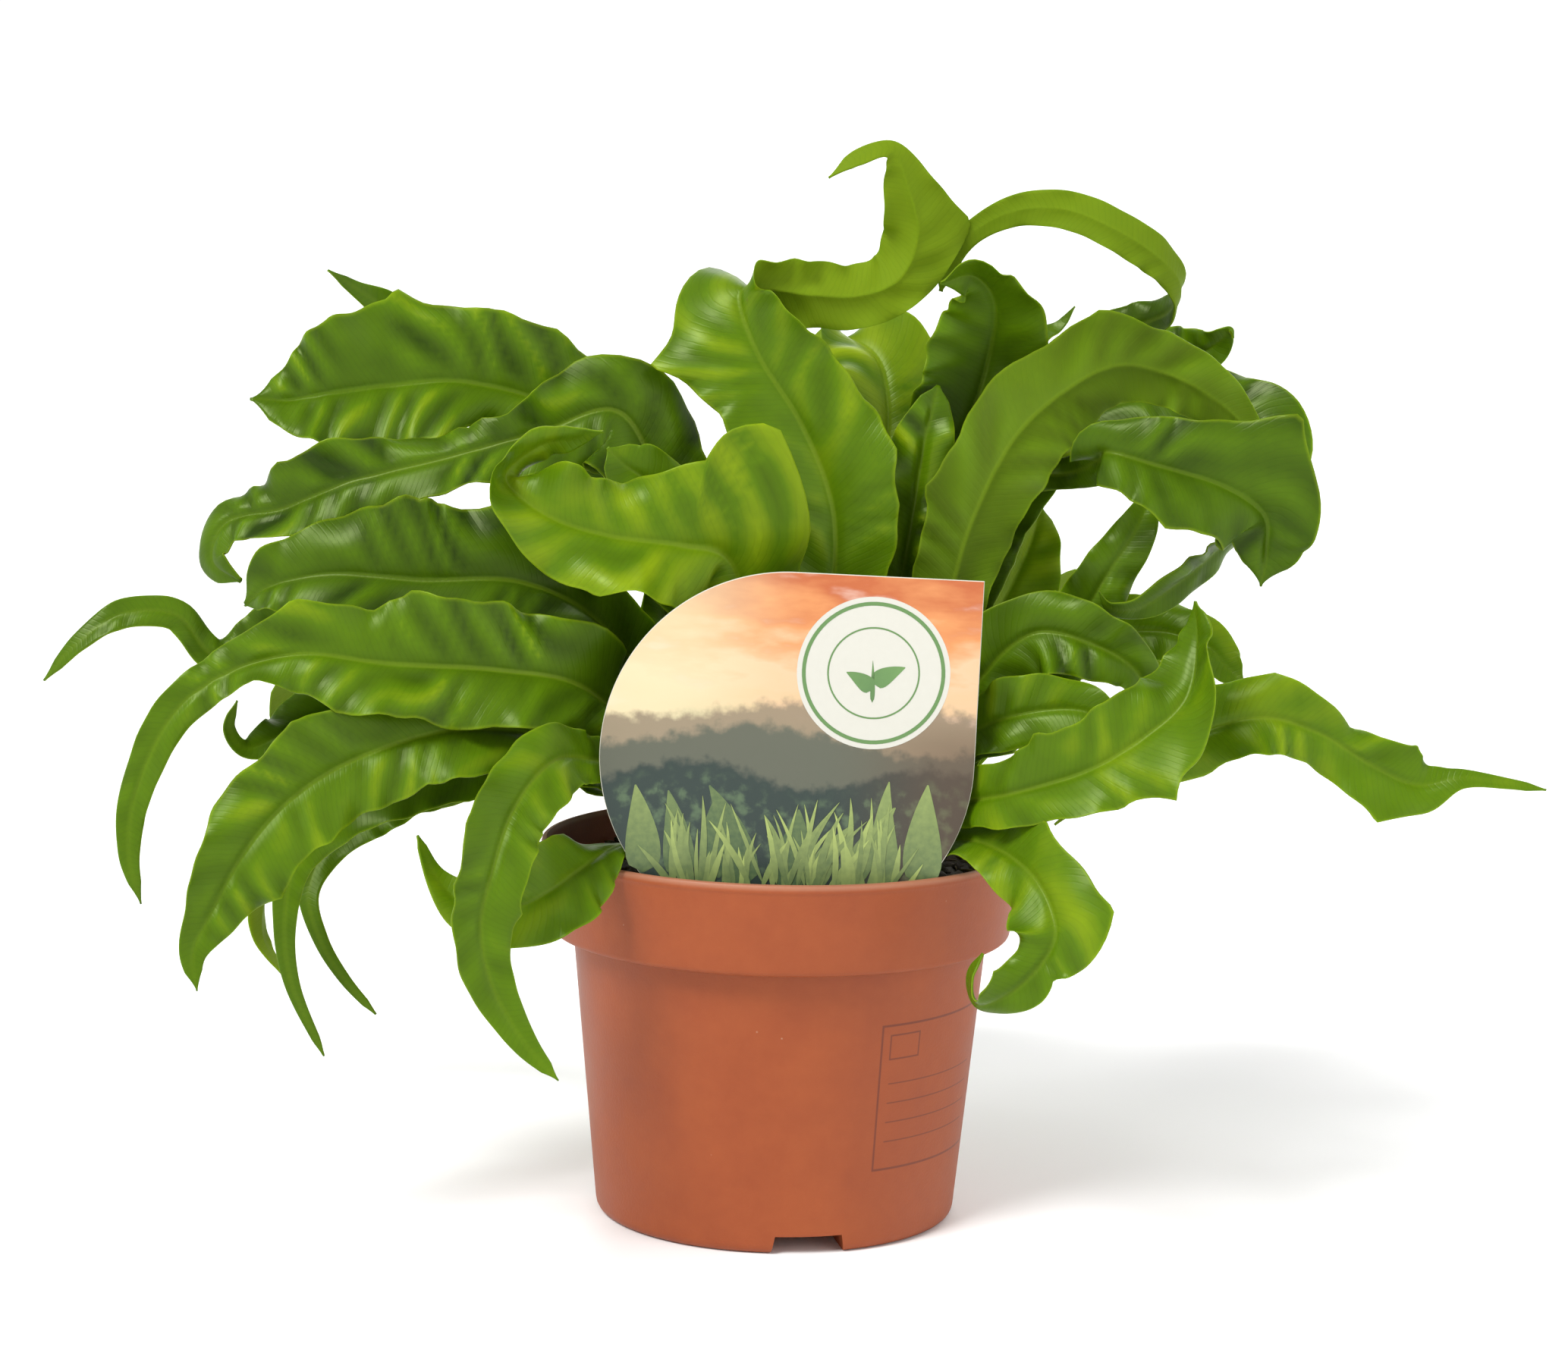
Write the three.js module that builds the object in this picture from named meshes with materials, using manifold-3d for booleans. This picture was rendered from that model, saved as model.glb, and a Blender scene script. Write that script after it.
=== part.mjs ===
// A potted crisped bird's nest fern: a nursery pot, its soil, the fern's crown with a rosette of
// twisted strap fronds, and a plant label. Millimetres, +Z up, origin on the pot's underside.
import * as THREE from 'three';
import { mergeVertices } from 'three/addons/utils/BufferGeometryUtils.js';
import Module from 'manifold-3d';

const wasm = await Module();
wasm.setup();

const GAP = 0.3;

// Pot: a 12 cm nursery pot with a stepped collar
const POT_HEIGHT = 94;
const RIM_RADIUS = 60;
const COLLAR_FOOT_RADIUS = 57.5;
const COLLAR_FOOT_Z = 71.5;
const BODY_TOP_RADIUS = 51.7;
const BASE_RADIUS = 44.8;
const POT_WALL = 1.5;
const FLOOR_THICKNESS = 1.8;
const BASE_ROUNDING = 2.4;
const POT_SIDES = 36;

// Drain channels: three notches in the foot, each with a raised tunnel and a slot behind it
const CHANNEL_COUNT = 3;
const CHANNEL_ANGLE = -79;
const CHANNEL_WIDTH_TOP = 16.5;
const CHANNEL_WIDTH_FOOT = 18.5;
const CHANNEL_HEIGHT = 4.6;
const CHANNEL_INNER_RADIUS = 29;
const SLOT_WIDTH = 9;
const SLOT_LENGTH = 5;

// Soil: fills the pot to a little under its rim
const SOIL_EDGE_Z = 85.5;
const SOIL_MOUND = 1.5;
const SOIL_LUMP = 1.3;
const SOIL_RINGS = 5;
const SOIL_SIDES = 24;

// Crown: the low dome of rhizome that carries the fronds
const CROWN_RADIUS = 28;
const CROWN_TOP_Z = 98;
const CROWN_DROP = 9;
const CROWN_ROOT_Z = 76;
const SOCKET_DEPTH = 6;
const SOCKET_CLEAR = 8;
const SOCKET_SIDES = 4;
const CROWN_SIDES = 12;
const STEM_RADIUS = 2.0;

// Label: a drop-shaped card with one square corner, on a stake
const CARD_RADIUS = 44.6;
const CARD_CENTRE = new THREE.Vector3(0.8, -44, 121.6);
const CARD_THICKNESS = 0.9;
const CARD_TILT = -1.6;
const CARD_LEAN = 1.5;
const STAKE_WIDTH = 10;
const STAKE_LENGTH = 44;
const STAKE_POINT = 8;

// Fronds
const BLADE_THICKNESS = 0.8;
const ROWS_PER_SPAN = 2;
const SECTION = [-1, -0.5, 0, 0.5, 1];
// The routes were laid out by eye from the front: a point is given by the place where it is seen
// against the pot's middle plane, from an eye this far in front and this high, and by its depth.
const EYE_DISTANCE = 983;
const EYE_HEIGHT = 276;

// Each frond: the place of its stem on the crown (angle from +X, radius), the heading of its arch,
// the fold along its midrib, the number, depth and start of the waves along its margins, its
// route: across, up, depth behind the middle plane, half width, and turn of the blade in degrees,
// and the corners of its margins: share of the length, side, height and spread.
const FRONDS = {
  frond_left_top: { root: [168, 12], heading: 180, fold: 16, waves: 5.5, ruffle: 2.6, phase: 0.4, route: [
    [-22, 125, 6, 5, -10], [-36, 165, 14, 10, -40], [-54, 197, 19, 15, -60], [-78, 206, 17, 18, -66],
    [-98, 205, 15, 20, -68], [-112, 203, 12, 17, -70], [-123, 201, 11, 10, -68], [-133, 201, 10, 1.2, -60]],
    peaks: [[0.64, -1, 3, 0.02], [0.8, -1, 4, 0.03], [0.68, 1, -9, 0.06], [0.88, 1, 4, 0.03]] },
  frond_left_wave: { root: [204, 10], heading: 180, fold: 10, waves: 4.5, ruffle: 4.4, phase: 2.2, route: [
    [-17, 130, 0, 6, -20], [-28, 168, -3, 12, -50], [-41, 199, -4, 16.5, -75], [-62, 194, -6, 11.5, -62],
    [-86, 187, -6, 10.5, -60], [-108, 181, -6, 10, -60], [-125, 174, -4, 9, -64], [-138.5, 170.5, -1, 6.5, -60],
    [-142, 161, -3, 5, -50], [-135, 156, -6, 2.4, -40]],
    peaks: [[0.6, -1, -5, 0.09], [0.62, 1, 2.5, 0.02], [0.76, 1, 2, 0.02], [0.84, -1, 3, 0.02]] },
  frond_left_dark: { root: [196, 17], heading: 184, fold: 16, waves: 5, ruffle: 2.5, phase: 1.2, route: [
    [-28, 121, -5, 6, -20], [-46, 147, -10, 11, -50], [-66, 157, -18, 16, -60], [-90, 157, -20, 18, -66],
    [-112, 158, -19, 15, -62], [-127, 155, -17, 8, -50], [-134, 150, -14, 3, -40]],
    peaks: [[0.6, -1, 2.5, 0.03], [0.74, -1, 3, 0.03], [0.84, 1, 2.5, 0.02]] },
  frond_left_behind: { root: [178, 18], heading: 180, fold: 10, waves: 4.5, ruffle: 2.5, phase: 0, route: [
    [-30, 118, 2, 6, -20], [-56, 138, 2, 11, -55], [-90, 143, 0, 13, -70], [-122, 141, -4, 11, -70],
    [-141, 137, -8, 5, -60], [-151, 147, -8, 4, -60], [-164, 147, -10, 3.8, -60], [-175, 140, -12, 2.6, -60],
    [-184, 130, -12, 0.8, -60]] },
  frond_left_long: { root: [205, 24], heading: 190, fold: 16, waves: 6, ruffle: 3.2, phase: 0.8, route: [
    [-33, 114, -15, 6, -20], [-50, 131, -30, 13, -60], [-72, 135, -38, 16, -68], [-98, 136, -42, 14, -70],
    [-120, 138, -44, 10, -70], [-138, 133, -44, 6.5, -70], [-152, 122, -46, 5, -75], [-161, 103, -48, 4, -80],
    [-163, 87, -50, 2.6, -80], [-160, 74, -50, 0.8, -80]],
    peaks: [[0.5, -1, 3, 0.03], [0.62, -1, 3, 0.02], [0.57, 1, 3, 0.03], [0.67, 1, -3, 0.03]] },
  frond_left_drape: { root: [219, 24], heading: 200, fold: 8, waves: 4, ruffle: 2.5, phase: 1.9, route: [
    [-33, 103, -24, 5.5, -10], [-56, 117, -32, 10.5, -50], [-80, 120, -42, 13, -62], [-104, 113, -48, 13, -70],
    [-122, 102, -55, 13, -80], [-134, 88, -61, 11, -84], [-142, 73, -65, 7, -80], [-147, 62, -68, 3.4, -80],
    [-146, 52, -70, 0.8, -80]],
    peaks: [[0.45, -1, 3, 0.03], [0.83, 1, 3.5, 0.03], [0.66, -1, 2, 0.02]] },
  frond_left_low: { root: [190, 24], heading: 185, fold: 8, waves: 4, ruffle: 2, phase: 0.5, route: [
    [-34, 103, -7, 5, -10], [-62, 113, -14, 9, -40], [-90, 108, -22, 10, -60], [-110, 99, -28, 8, -70],
    [-121, 86, -32, 4.6, -80], [-124, 70, -34, 2.9, -84], [-122, 54, -35, 1.9, -80], [-114, 36, -36, 0.8, -80]] },
  frond_left_thread: { root: [176, 24.5], heading: 178, fold: 10, waves: 3, ruffle: 2, phase: 2.5, route: [
    [-34, 101, 3, 5, -10], [-58, 112, 4, 9, -40], [-86, 110, 1, 10, -70], [-102, 101, -4, 9, -80],
    [-113, 90, -10, 5.5, -80], [-118, 78, -16, 2.8, -80], [-115, 66, -20, 2, -80], [-109, 56, -22, 1.5, -80],
    [-101, 47, -24, 0.8, -80]] },
  frond_left_hook: { root: [162, 24], heading: 176, fold: 14, waves: 4, ruffle: 3, phase: 1.0, route: [
    [-36, 104, 17, 6, -10], [-62, 121, 22, 10, -40], [-90, 127, 20, 11, -60], [-112, 124, 12, 9, -60],
    [-126, 117, 1, 6, -60], [-134, 114, -4, 2.4, -60], [-138, 119, -6, 1.6, -60], [-136, 126, -7, 0.8, -60]] },
  frond_left_back: { root: [150, 16], heading: 165, fold: 12, waves: 5, ruffle: 3, phase: 2, route: [
    [-20, 132, 20, 6, -10], [-36, 170, 38, 12, -40], [-60, 199, 46, 13, -50], [-85, 212, 48, 9, -50],
    [-100, 224, 46, 4.5, -50], [-107, 228.5, 44, 2.2, -50], [-114, 233, 42, 0.8, -40]] },
  frond_front_left: { root: [238, 24.5], heading: 205, fold: 8, waves: 3, ruffle: 1.2, phase: 0, route: [
    [-28, 106, -28, 4, -20], [-48, 113, -41, 6, -60], [-58, 112, -57, 9, -68], [-67, 100, -70, 9, -75],
    [-72, 85, -78, 8, -82], [-75, 70, -80, 7, -86], [-72, 55, -80, 5.4, -84], [-64, 41, -80, 3.2, -80],
    [-55, 31, -80, 0.8, -80]],
    peaks: [[0.62, -1, 2.5, 0.03], [0.72, 1, 2, 0.03]] },
  frond_front_low: { root: [262, 24.5], heading: 205, fold: 10, waves: 3, ruffle: 1.5, phase: 1.6, route: [
    [-16, 91.5, -31, 3.2, 0], [-28, 90.5, -31, 3.4, 0], [-40.5, 91, -38.5, 3.6, 0], [-50, 85.5, -52.5, 9.5, -60],
    [-58, 79.5, -62, 11.5, -72], [-67, 75, -66, 9.5, -75], [-78, 75, -65, 6.5, -75], [-86, 82, -63, 3, -70],
    [-91, 93, -61, 0.8, -70]] },
  frond_centre_light: { root: [262, 13], heading: 180, fold: 14, waves: 4.5, ruffle: 5, phase: 3.2, route: [
    [0, 118, -18, 7, -70], [-8, 142, -22, 11, -80], [-14, 163, -26, 14, -80], [-26, 167, -30, 16, -72],
    [-44, 169, -33, 14, -68], [-60, 174, -34, 12, -66], [-70, 183, -31, 7, -50], [-62, 191, -27, 4.5, -60],
    [-54, 193, -25, 3, -60], [-46, 195, -24, 0.8, -60]],
    peaks: [[0.5, -1, 18, 0.04], [0.5, 1, 3, 0.03], [0.66, 1, 3, 0.03]] },
  frond_centre_flap: { root: [236, 16], heading: 180, fold: 10, waves: 3, ruffle: 1.5, phase: 1.1, route: [
    [-14, 130, -12, 5, -20], [-24, 160, -15, 8, -60], [-33, 180, -16, 9, -70], [-41, 187, -16, 6, -70],
    [-45, 191, -16, 1.5, -70]] },
  frond_centre_tall: { root: [290, 7], heading: 0, fold: 14, waves: 5, ruffle: 2.4, phase: 0.3, route: [
    [9, 122, -8, 7, 88], [11, 150, -10, 12, 92], [11, 176, -10, 15, 95], [3, 197, -8, 17, 95],
    [-8, 214, -5, 14, 92], [-13, 228, -1, 10.5, 55], [-8, 231, 1, 8.5, -45], [4, 229.5, 2, 8.5, -88],
    [16, 229.5, 4, 8, -88], [26, 234, 6, 8, -88], [30, 245, 6, 9, -88], [27, 257, 4, 6, -88],
    [23, 265, 2, 2.4, -70], [15, 263, 0, 2.2, -60], [8, 258, -2, 0.8, -60]],
    peaks: [[0.57, 1, 12, 0.03], [0.62, 1, 7, 0.015], [0.4, -1, 3, 0.03], [0.84, 1, 5, 0.02]] },
  frond_centre_gold: { root: [80, 7], heading: 60, fold: 12, waves: 4, ruffle: 3, phase: 2, route: [
    [10, 132, 14, 7, 30], [18, 165, 20, 12, 40], [24, 192, 26, 16, 40], [22, 212, 34, 16, 50],
    [13, 219, 42, 11, 50], [3, 217, 50, 3, 40]] },
  frond_centre_gloss: { root: [330, 8.5], heading: 0, fold: 16, waves: 4, ruffle: 2, phase: 1.7, route: [
    [19, 124, -3, 5, 80], [26, 150, -4, 8, 88], [30, 172, -5, 10, 90], [33, 194, -4, 8, 92],
    [36, 208, -2, 2, 92]] },
  frond_centre_cup: { root: [14, 8], heading: 0, fold: 22, waves: 3, ruffle: 3, phase: 0, route: [
    [21, 140, 6, 7, 60], [33, 172, 9, 12, 80], [43, 197, 9, 16, 88], [48, 214, 5, 16.5, 88],
    [49.5, 228, -5, 13.5, 72], [44, 235, -12, 8, 60], [36, 233, -15, 2, 60]] },
  frond_arch: { root: [34, 14], heading: 0, fold: 8, waves: 4, ruffle: 1.6, phase: 1, route: [
    [26, 130, 18, 6, 20], [44, 172, 26, 10, 50], [62, 205, 30, 9, 60], [80, 221, 30, 7, 70],
    [92, 227, 24, 5, 40], [94, 234, 16, 4, -40], [88, 241, 10, 5, -80], [78, 247, 8, 5, -88],
    [66, 251.5, 10, 4.8, -90], [54, 251, 11, 4, -90], [44, 246, 13, 3, -90], [38, 239, 15, 3, -90],
    [36, 231, 16, 2.4, -90]] },
  frond_right_broad: { root: [325, 15], heading: 0, fold: 8, waves: 4, ruffle: 2.5, phase: 2.6, route: [
    [27, 122, -13, 6, -40], [38.5, 150, -16, 9, -85], [45, 174, -17, 11, -93], [57, 198, -14, 12.5, -95],
    [77, 213, -9, 10, -90], [92, 212, -5, 8.5, -80], [104, 206, -6, 7, -80], [112, 199, -8, 4, -80],
    [117, 192, -9, 1, -80]],
    peaks: [[0.5, -1, 2.5, 0.02], [0.76, -1, 5, 0.03], [0.66, -1, 2, 0.02]] },
  frond_right_glossy: { root: [350, 15], heading: 0, fold: 20, waves: 3.5, ruffle: 2, phase: 0.6, route: [
    [34, 124, 0, 6, 20], [40, 150, -3, 5, 60], [47, 172, -4, 4.5, 85], [57, 185, -4, 4.5, 85],
    [69, 187, -6, 4, 75], [75.5, 190, -20, 6, 70], [78, 192.5, -33, 8.5, 72], [90, 189.5, -36, 12, 75],
    [106, 185, -36, 14, 78], [117, 178, -35, 12, 84], [118, 169, -35, 8, 88], [117, 160, -35, 1, 88]],
    peaks: [[0.8, -1, 3, 0.02], [0.885, 1, 11, 0.025], [0.92, -1, 3, 0.02]] },
  frond_right_hook: { root: [45, 18], heading: 20, fold: 12, waves: 4, ruffle: 3.4, phase: 1.1, route: [
    [28, 130, 28, 7, 10], [46, 172, 44, 11, 30], [66, 202, 50, 12, 60], [93, 214, 46, 10, 70],
    [103, 219, 40, 5, 70], [107, 223, 36, 1.6, 70], [108, 221, 35, 0.8, 70]] },
  frond_right_curl: { root: [12, 18], heading: 8, fold: 10, waves: 4.5, ruffle: 2.5, phase: 0.2, route: [
    [36, 124, 8, 5, 20], [45, 152, 10, 6, 50], [54, 176, 13, 7, 65], [66, 196, 16, 10, 65],
    [86, 206, 17, 12, 60], [108, 203, 14, 11, 60], [119, 196, 6, 9, 50], [116, 181, -4, 7, 40],
    [106, 169, -13, 5.5, 50], [96, 160, -19, 5, 60], [87, 154, -22, 3, 60], [80, 154, -24, 1.8, 60],
    [77, 158, -24, 0.8, 60]] },
  frond_right_wavy: { root: [357, 22], heading: 0, fold: 10, waves: 5, ruffle: 3.6, phase: 1.8, route: [
    [38, 110, -6, 6, 30], [57, 130, -11, 9, 60], [70, 147, -14, 9, 80], [79, 162, -15, 7, 85],
    [86, 174, -14, 5, 85], [89, 182, -12, 2, 85]] },
  frond_right_mid: { root: [333, 20], heading: 355, fold: 12, waves: 4, ruffle: 2, phase: 0, route: [
    [36, 113, -12, 6, 30], [49, 136, -20, 9, 70], [61, 147, -24, 10, 78], [75, 145, -27, 9, 78],
    [87, 138, -28, 6, 70], [90, 126, -30, 2, 70]],
    peaks: [[0.58, 1, 3, 0.03], [0.7, -1, 3, 0.03]] },
  frond_right_boat: { root: [305, 24.5], heading: 335, fold: 18, waves: 3, ruffle: 2, phase: 2.4, route: [
    [26, 99, -27, 4.5, 20], [44, 104, -37, 6.5, 60], [58, 107, -51, 9, 76], [76, 113, -58, 11, 80],
    [90, 122, -60, 12, 82], [100, 132, -58, 12, 70], [102, 146, -52, 6, 60], [101, 156, -48, 1, 60]],
    peaks: [[0.71, -1, 7, 0.03], [0.55, 1, 2, 0.03], [0.84, 1, 2, 0.02]] },
  frond_right_far: { root: [343, 25.5], heading: 345, fold: 10, waves: 6, ruffle: 3.6, phase: 1.5, route: [
    [34, 101, -15, 5, 20], [62, 110, -26, 8, 50], [92, 119, -36, 10, 70], [116, 127, -40, 9, 78],
    [132, 124, -40, 8, 78], [146, 116, -40, 7.5, 78], [158, 111, -40, 5.5, 60], [169, 113, -40, 2.4, 60],
    [180, 112, -40, 1.4, 60], [190, 110.5, -40, 0.8, 60]],
    peaks: [[0.62, 1, 3, 0.03], [0.72, 1, -3, 0.03], [0.81, 1, 3, 0.02],
      [0.8, -1, 6, 0.03]] },
  frond_right_small: { root: [322, 22.5], heading: 345, fold: 16, waves: 3, ruffle: 2.5, phase: 0.7, route: [
    [32, 109, -20, 4.5, 30], [47, 122, -30, 7, 70], [60, 127, -36, 9, 75], [74, 128, -39, 7, 75],
    [84, 122, -41, 2, 75]] },
  frond_right_pale: { root: [16, 25], heading: 5, fold: 10, waves: 4, ruffle: 2.5, phase: 2.8, route: [
    [40, 108, 14, 6, 20], [66, 140, 20, 10, 60], [86, 148, 20, 9, 70], [102, 146, 14, 7, 75],
    [110, 139, 10, 4, 75], [114, 136, 8, 0.8, 75]] },
  frond_front_right: { root: [288, 24.5], heading: 335, fold: 12, waves: 4, ruffle: 2.4, phase: 0.9, route: [
    [17, 91, -31, 3.5, 0], [36, 93, -33, 5, 10], [50, 94, -44, 7, 40], [63, 86, -62, 9.5, 78],
    [69, 73, -71, 10, 88], [66, 64, -71, 7, 80], [58, 56, -71, 5.5, 60], [50, 53, -70, 4, 40],
    [48, 60, -69, 2.4, 40], [51, 66, -68, 1, 40]],
    peaks: [[0.55, 1, 4, 0.03], [0.69, 1, 7, 0.03], [0.77, 1, -3, 0.02], [0.84, -1, 2, 0.02]] },
  frond_back_tip: { root: [72, 17], heading: 40, fold: 12, waves: 4, ruffle: 3, phase: 0, route: [
    [14, 130, 34, 7, 10], [28, 172, 58, 12, 20], [45, 204, 72, 11, 30], [58, 219, 76, 5, 30],
    [65, 223, 78, 1.6, 30], [69, 228, 78, 0.8, 30]] },
  frond_right_light: { root: [35, 25], heading: 25, fold: 10, waves: 3, ruffle: 3, phase: 2, route: [
    [34, 116, 34, 6, 20], [46, 140, 48, 10, 60], [55, 158, 54, 12, 75], [60, 170, 56, 8, 75],
    [62, 179, 58, 2, 75]] },
  frond_back_left: { root: [127, 25.5], heading: 135, fold: 12, waves: 5, ruffle: 3.2, phase: 1.4, route: [
    [-26, 108, 36, 6, 0], [-48, 138, 62, 12, 10], [-72, 156, 92, 16, 30], [-96, 156, 118, 15, 5],
    [-114, 141, 138, 12, -30], [-122, 120, 148, 8, -10], [-118, 101, 150, 4, 20], [-108, 92, 146, 1, 30]] },
  frond_back_left_high: { root: [116, 16], heading: 115, fold: 14, waves: 5, ruffle: 3, phase: 0.2, route: [
    [-8, 130, 30, 6, 0], [-22, 164, 54, 13, -10], [-42, 186, 84, 16, -30], [-52, 190, 112, 15, -10],
    [-58, 178, 134, 11, 25], [-61, 160, 146, 7, 40], [-62, 144, 148, 3, 30], [-58, 134, 144, 0.8, 20]] },
  frond_back: { root: [98, 25], heading: 92, fold: 12, waves: 5, ruffle: 3.4, phase: 2.2, route: [
    [-4, 108, 44, 6, 0], [-7, 132, 74, 12, 10], [-4, 145, 104, 16, 30], [3, 141, 132, 15, 10],
    [8, 124, 152, 10, -20], [8, 104, 160, 6, -30], [2, 90, 158, 2, -20]] },
  frond_back_right: { root: [68, 25], heading: 62, fold: 12, waves: 4.5, ruffle: 3.2, phase: 0.9, route: [
    [18, 110, 40, 6, 0], [36, 138, 66, 12, -10], [55, 152, 92, 16, -30], [74, 150, 118, 15, -5],
    [86, 136, 136, 10, 25], [90, 120, 142, 6, 30], [86, 108, 140, 1.5, 20]] },
  frond_back_high: { root: [94, 12.5], heading: 80, fold: 14, waves: 5, ruffle: 3, phase: 1.9, route: [
    [3, 130, 25, 3.5, 0], [5, 158, 48, 7.5, 5], [7.5, 179, 72, 11, 15], [11, 185, 95, 11.5, 5],
    [16, 173, 112, 9, -25], [18, 156, 120, 4, -40], [15, 145, 118, 0.8, -40]] },
  frond_back_low: { root: [144, 25.5], heading: 150, fold: 10, waves: 4, ruffle: 3, phase: 3, route: [
    [-32, 103, 26, 5, 0], [-60, 116, 48, 11, 20], [-88, 118, 70, 13, 10], [-111, 106, 88, 12, -20],
    [-126, 86, 98, 8, -30], [-130, 68, 98, 4, -10], [-124, 56, 94, 1, 0]] },
  frond_back_low_right: { root: [50, 25.5], heading: 62, fold: 10, waves: 4, ruffle: 3, phase: 1.1, route: [
    [27, 103, 32, 5, 0], [46, 118, 60, 11, -15], [60, 125, 90, 13, -25], [69, 122, 114, 12, 0],
    [74, 113, 130, 8, 20], [73, 104, 134, 3, 30], [68, 99, 130, 0.8, 30]] },
};

const COLOURS = {
  terracotta: [0xb8562f, 0.42],
  peat: [0x2a211a, 0.95],
  rhizome: [0x3b2a1c, 0.9],
  leaf: [0x4f8f23, 0.38],
  card: [0xd9a777, 0.45],
};

function material(name) {
  const [color, roughness] = COLOURS[name];
  return new THREE.MeshStandardMaterial({ color, roughness, metalness: 0, name });
}

function vector(x, y, z) {
  return new THREE.Vector3(x, y, z);
}

function solidOf(geometry) {
  const bare = geometry.clone();
  bare.deleteAttribute('normal');
  bare.deleteAttribute('uv');
  const merged = mergeVertices(bare, 1e-4);
  return new wasm.Manifold(new wasm.Mesh({
    numProp: 3,
    vertProperties: new Float32Array(merged.attributes.position.array),
    triVerts: new Uint32Array(merged.index.array),
  }));
}

function geometryOf(solid) {
  const { vertProperties, triVerts } = solid.getMesh();
  const geometry = new THREE.BufferGeometry();
  geometry.setAttribute('position', new THREE.BufferAttribute(vertProperties, 3));
  geometry.setIndex(new THREE.BufferAttribute(triVerts, 1));
  return geometry;
}

function named(name, geometry, finish) {
  const mesh = new THREE.Mesh(geometry, material(finish));
  mesh.name = name;
  return mesh;
}

// A solid of revolution about Z from [radius, height] points that start and end on the axis
function turned(profile, sides) {
  const points = profile.map(([r, z]) => new THREE.Vector2(r, z));
  return new THREE.LatheGeometry(points, sides).rotateX(Math.PI / 2);
}

function placed(geometry, angle) {
  return solidOf(geometry.clone().rotateZ(THREE.MathUtils.degToRad(angle)));
}

// The inside of the pot, kept `inset` away from its wall and floor
function insideProfile(inset) {
  const wall = POT_WALL + inset;
  const bodyAt = (z) => BASE_RADIUS + (BODY_TOP_RADIUS - BASE_RADIUS) * z / COLLAR_FOOT_Z - wall;
  const collarAt = (z) => COLLAR_FOOT_RADIUS - wall
    + (RIM_RADIUS - COLLAR_FOOT_RADIUS) * (z - COLLAR_FOOT_Z) / (POT_HEIGHT - COLLAR_FOOT_Z);
  return { bodyAt, collarAt, floor: FLOOR_THICKNESS + inset };
}

function channelSolid(outset, topZ, innerRadius) {
  const top = CHANNEL_WIDTH_TOP / 2 + outset;
  const foot = CHANNEL_WIDTH_FOOT / 2 + outset;
  const shape = new THREE.Shape();
  shape.moveTo(-foot, -1);
  shape.lineTo(foot, -1);
  shape.lineTo(top, topZ);
  shape.lineTo(-top, topZ);
  const depth = BASE_RADIUS + 4 - innerRadius;
  const bar = new THREE.ExtrudeGeometry(shape, { depth, bevelEnabled: false });
  return bar.rotateX(Math.PI / 2).rotateZ(Math.PI / 2).translate(innerRadius, 0, 0);
}

function channelAngles() {
  return Array.from({ length: CHANNEL_COUNT }, (_, i) => CHANNEL_ANGLE + i * 360 / CHANNEL_COUNT);
}

function makePot() {
  const { bodyAt, collarAt, floor } = insideProfile(0);
  const b = BASE_ROUNDING;
  const outside = [
    [0, 0], [BASE_RADIUS - b, 0], [BASE_RADIUS - 0.3 * b, 0.3 * b], [BASE_RADIUS + 0.1, b],
    [BODY_TOP_RADIUS, COLLAR_FOOT_Z - 0.5], [COLLAR_FOOT_RADIUS - 1.6, COLLAR_FOOT_Z - 0.4],
    [COLLAR_FOOT_RADIUS - 0.4, COLLAR_FOOT_Z + 0.2], [COLLAR_FOOT_RADIUS, COLLAR_FOOT_Z + 1.4],
    [RIM_RADIUS - 0.5, POT_HEIGHT - 2.6], [RIM_RADIUS, POT_HEIGHT - 1.6], [RIM_RADIUS - 0.3, POT_HEIGHT - 0.3],
    [RIM_RADIUS - 0.9, POT_HEIGHT], [RIM_RADIUS - 1.5, POT_HEIGHT - 0.4]];
  const inside = [
    [collarAt(COLLAR_FOOT_Z + 1), COLLAR_FOOT_Z + 1], [bodyAt(COLLAR_FOOT_Z) + 0.6, COLLAR_FOOT_Z + 0.9],
    [bodyAt(COLLAR_FOOT_Z - 1), COLLAR_FOOT_Z - 1], [bodyAt(floor + 1), floor + 1],
    [bodyAt(floor) - 1, floor], [0, floor]];
  let pot = solidOf(turned([...outside, ...inside], POT_SIDES));
  const within = solidOf(turned([[0, -2], [BASE_RADIUS - 0.8, -2], [BASE_RADIUS - 0.8, 12], [0, 12]], POT_SIDES));
  const tunnel = channelSolid(POT_WALL, CHANNEL_HEIGHT + POT_WALL, CHANNEL_INNER_RADIUS - POT_WALL);
  const under = solidOf(new THREE.BoxGeometry(200, 200, 20).translate(0, 0, -10));
  const channel = channelSolid(0, CHANNEL_HEIGHT, CHANNEL_INNER_RADIUS);
  const slot = new THREE.BoxGeometry(SLOT_LENGTH, SLOT_WIDTH, 8)
    .translate(CHANNEL_INNER_RADIUS + SLOT_LENGTH / 2 + 1.5, 0, CHANNEL_HEIGHT);
  for (const angle of channelAngles()) {
    pot = pot.add(placed(tunnel, angle).intersect(within).subtract(under));
  }
  for (const angle of channelAngles()) {
    pot = pot.subtract(placed(channel, angle)).subtract(placed(slot, angle));
  }
  return named('pot', geometryOf(pot), 'terracotta');
}

function lumpiness(x, y) {
  return Math.sin(0.31 * x + 0.9) * Math.cos(0.27 * y - 0.4) + 0.6 * Math.sin(0.53 * x - 0.47 * y + 1.7);
}

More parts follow.
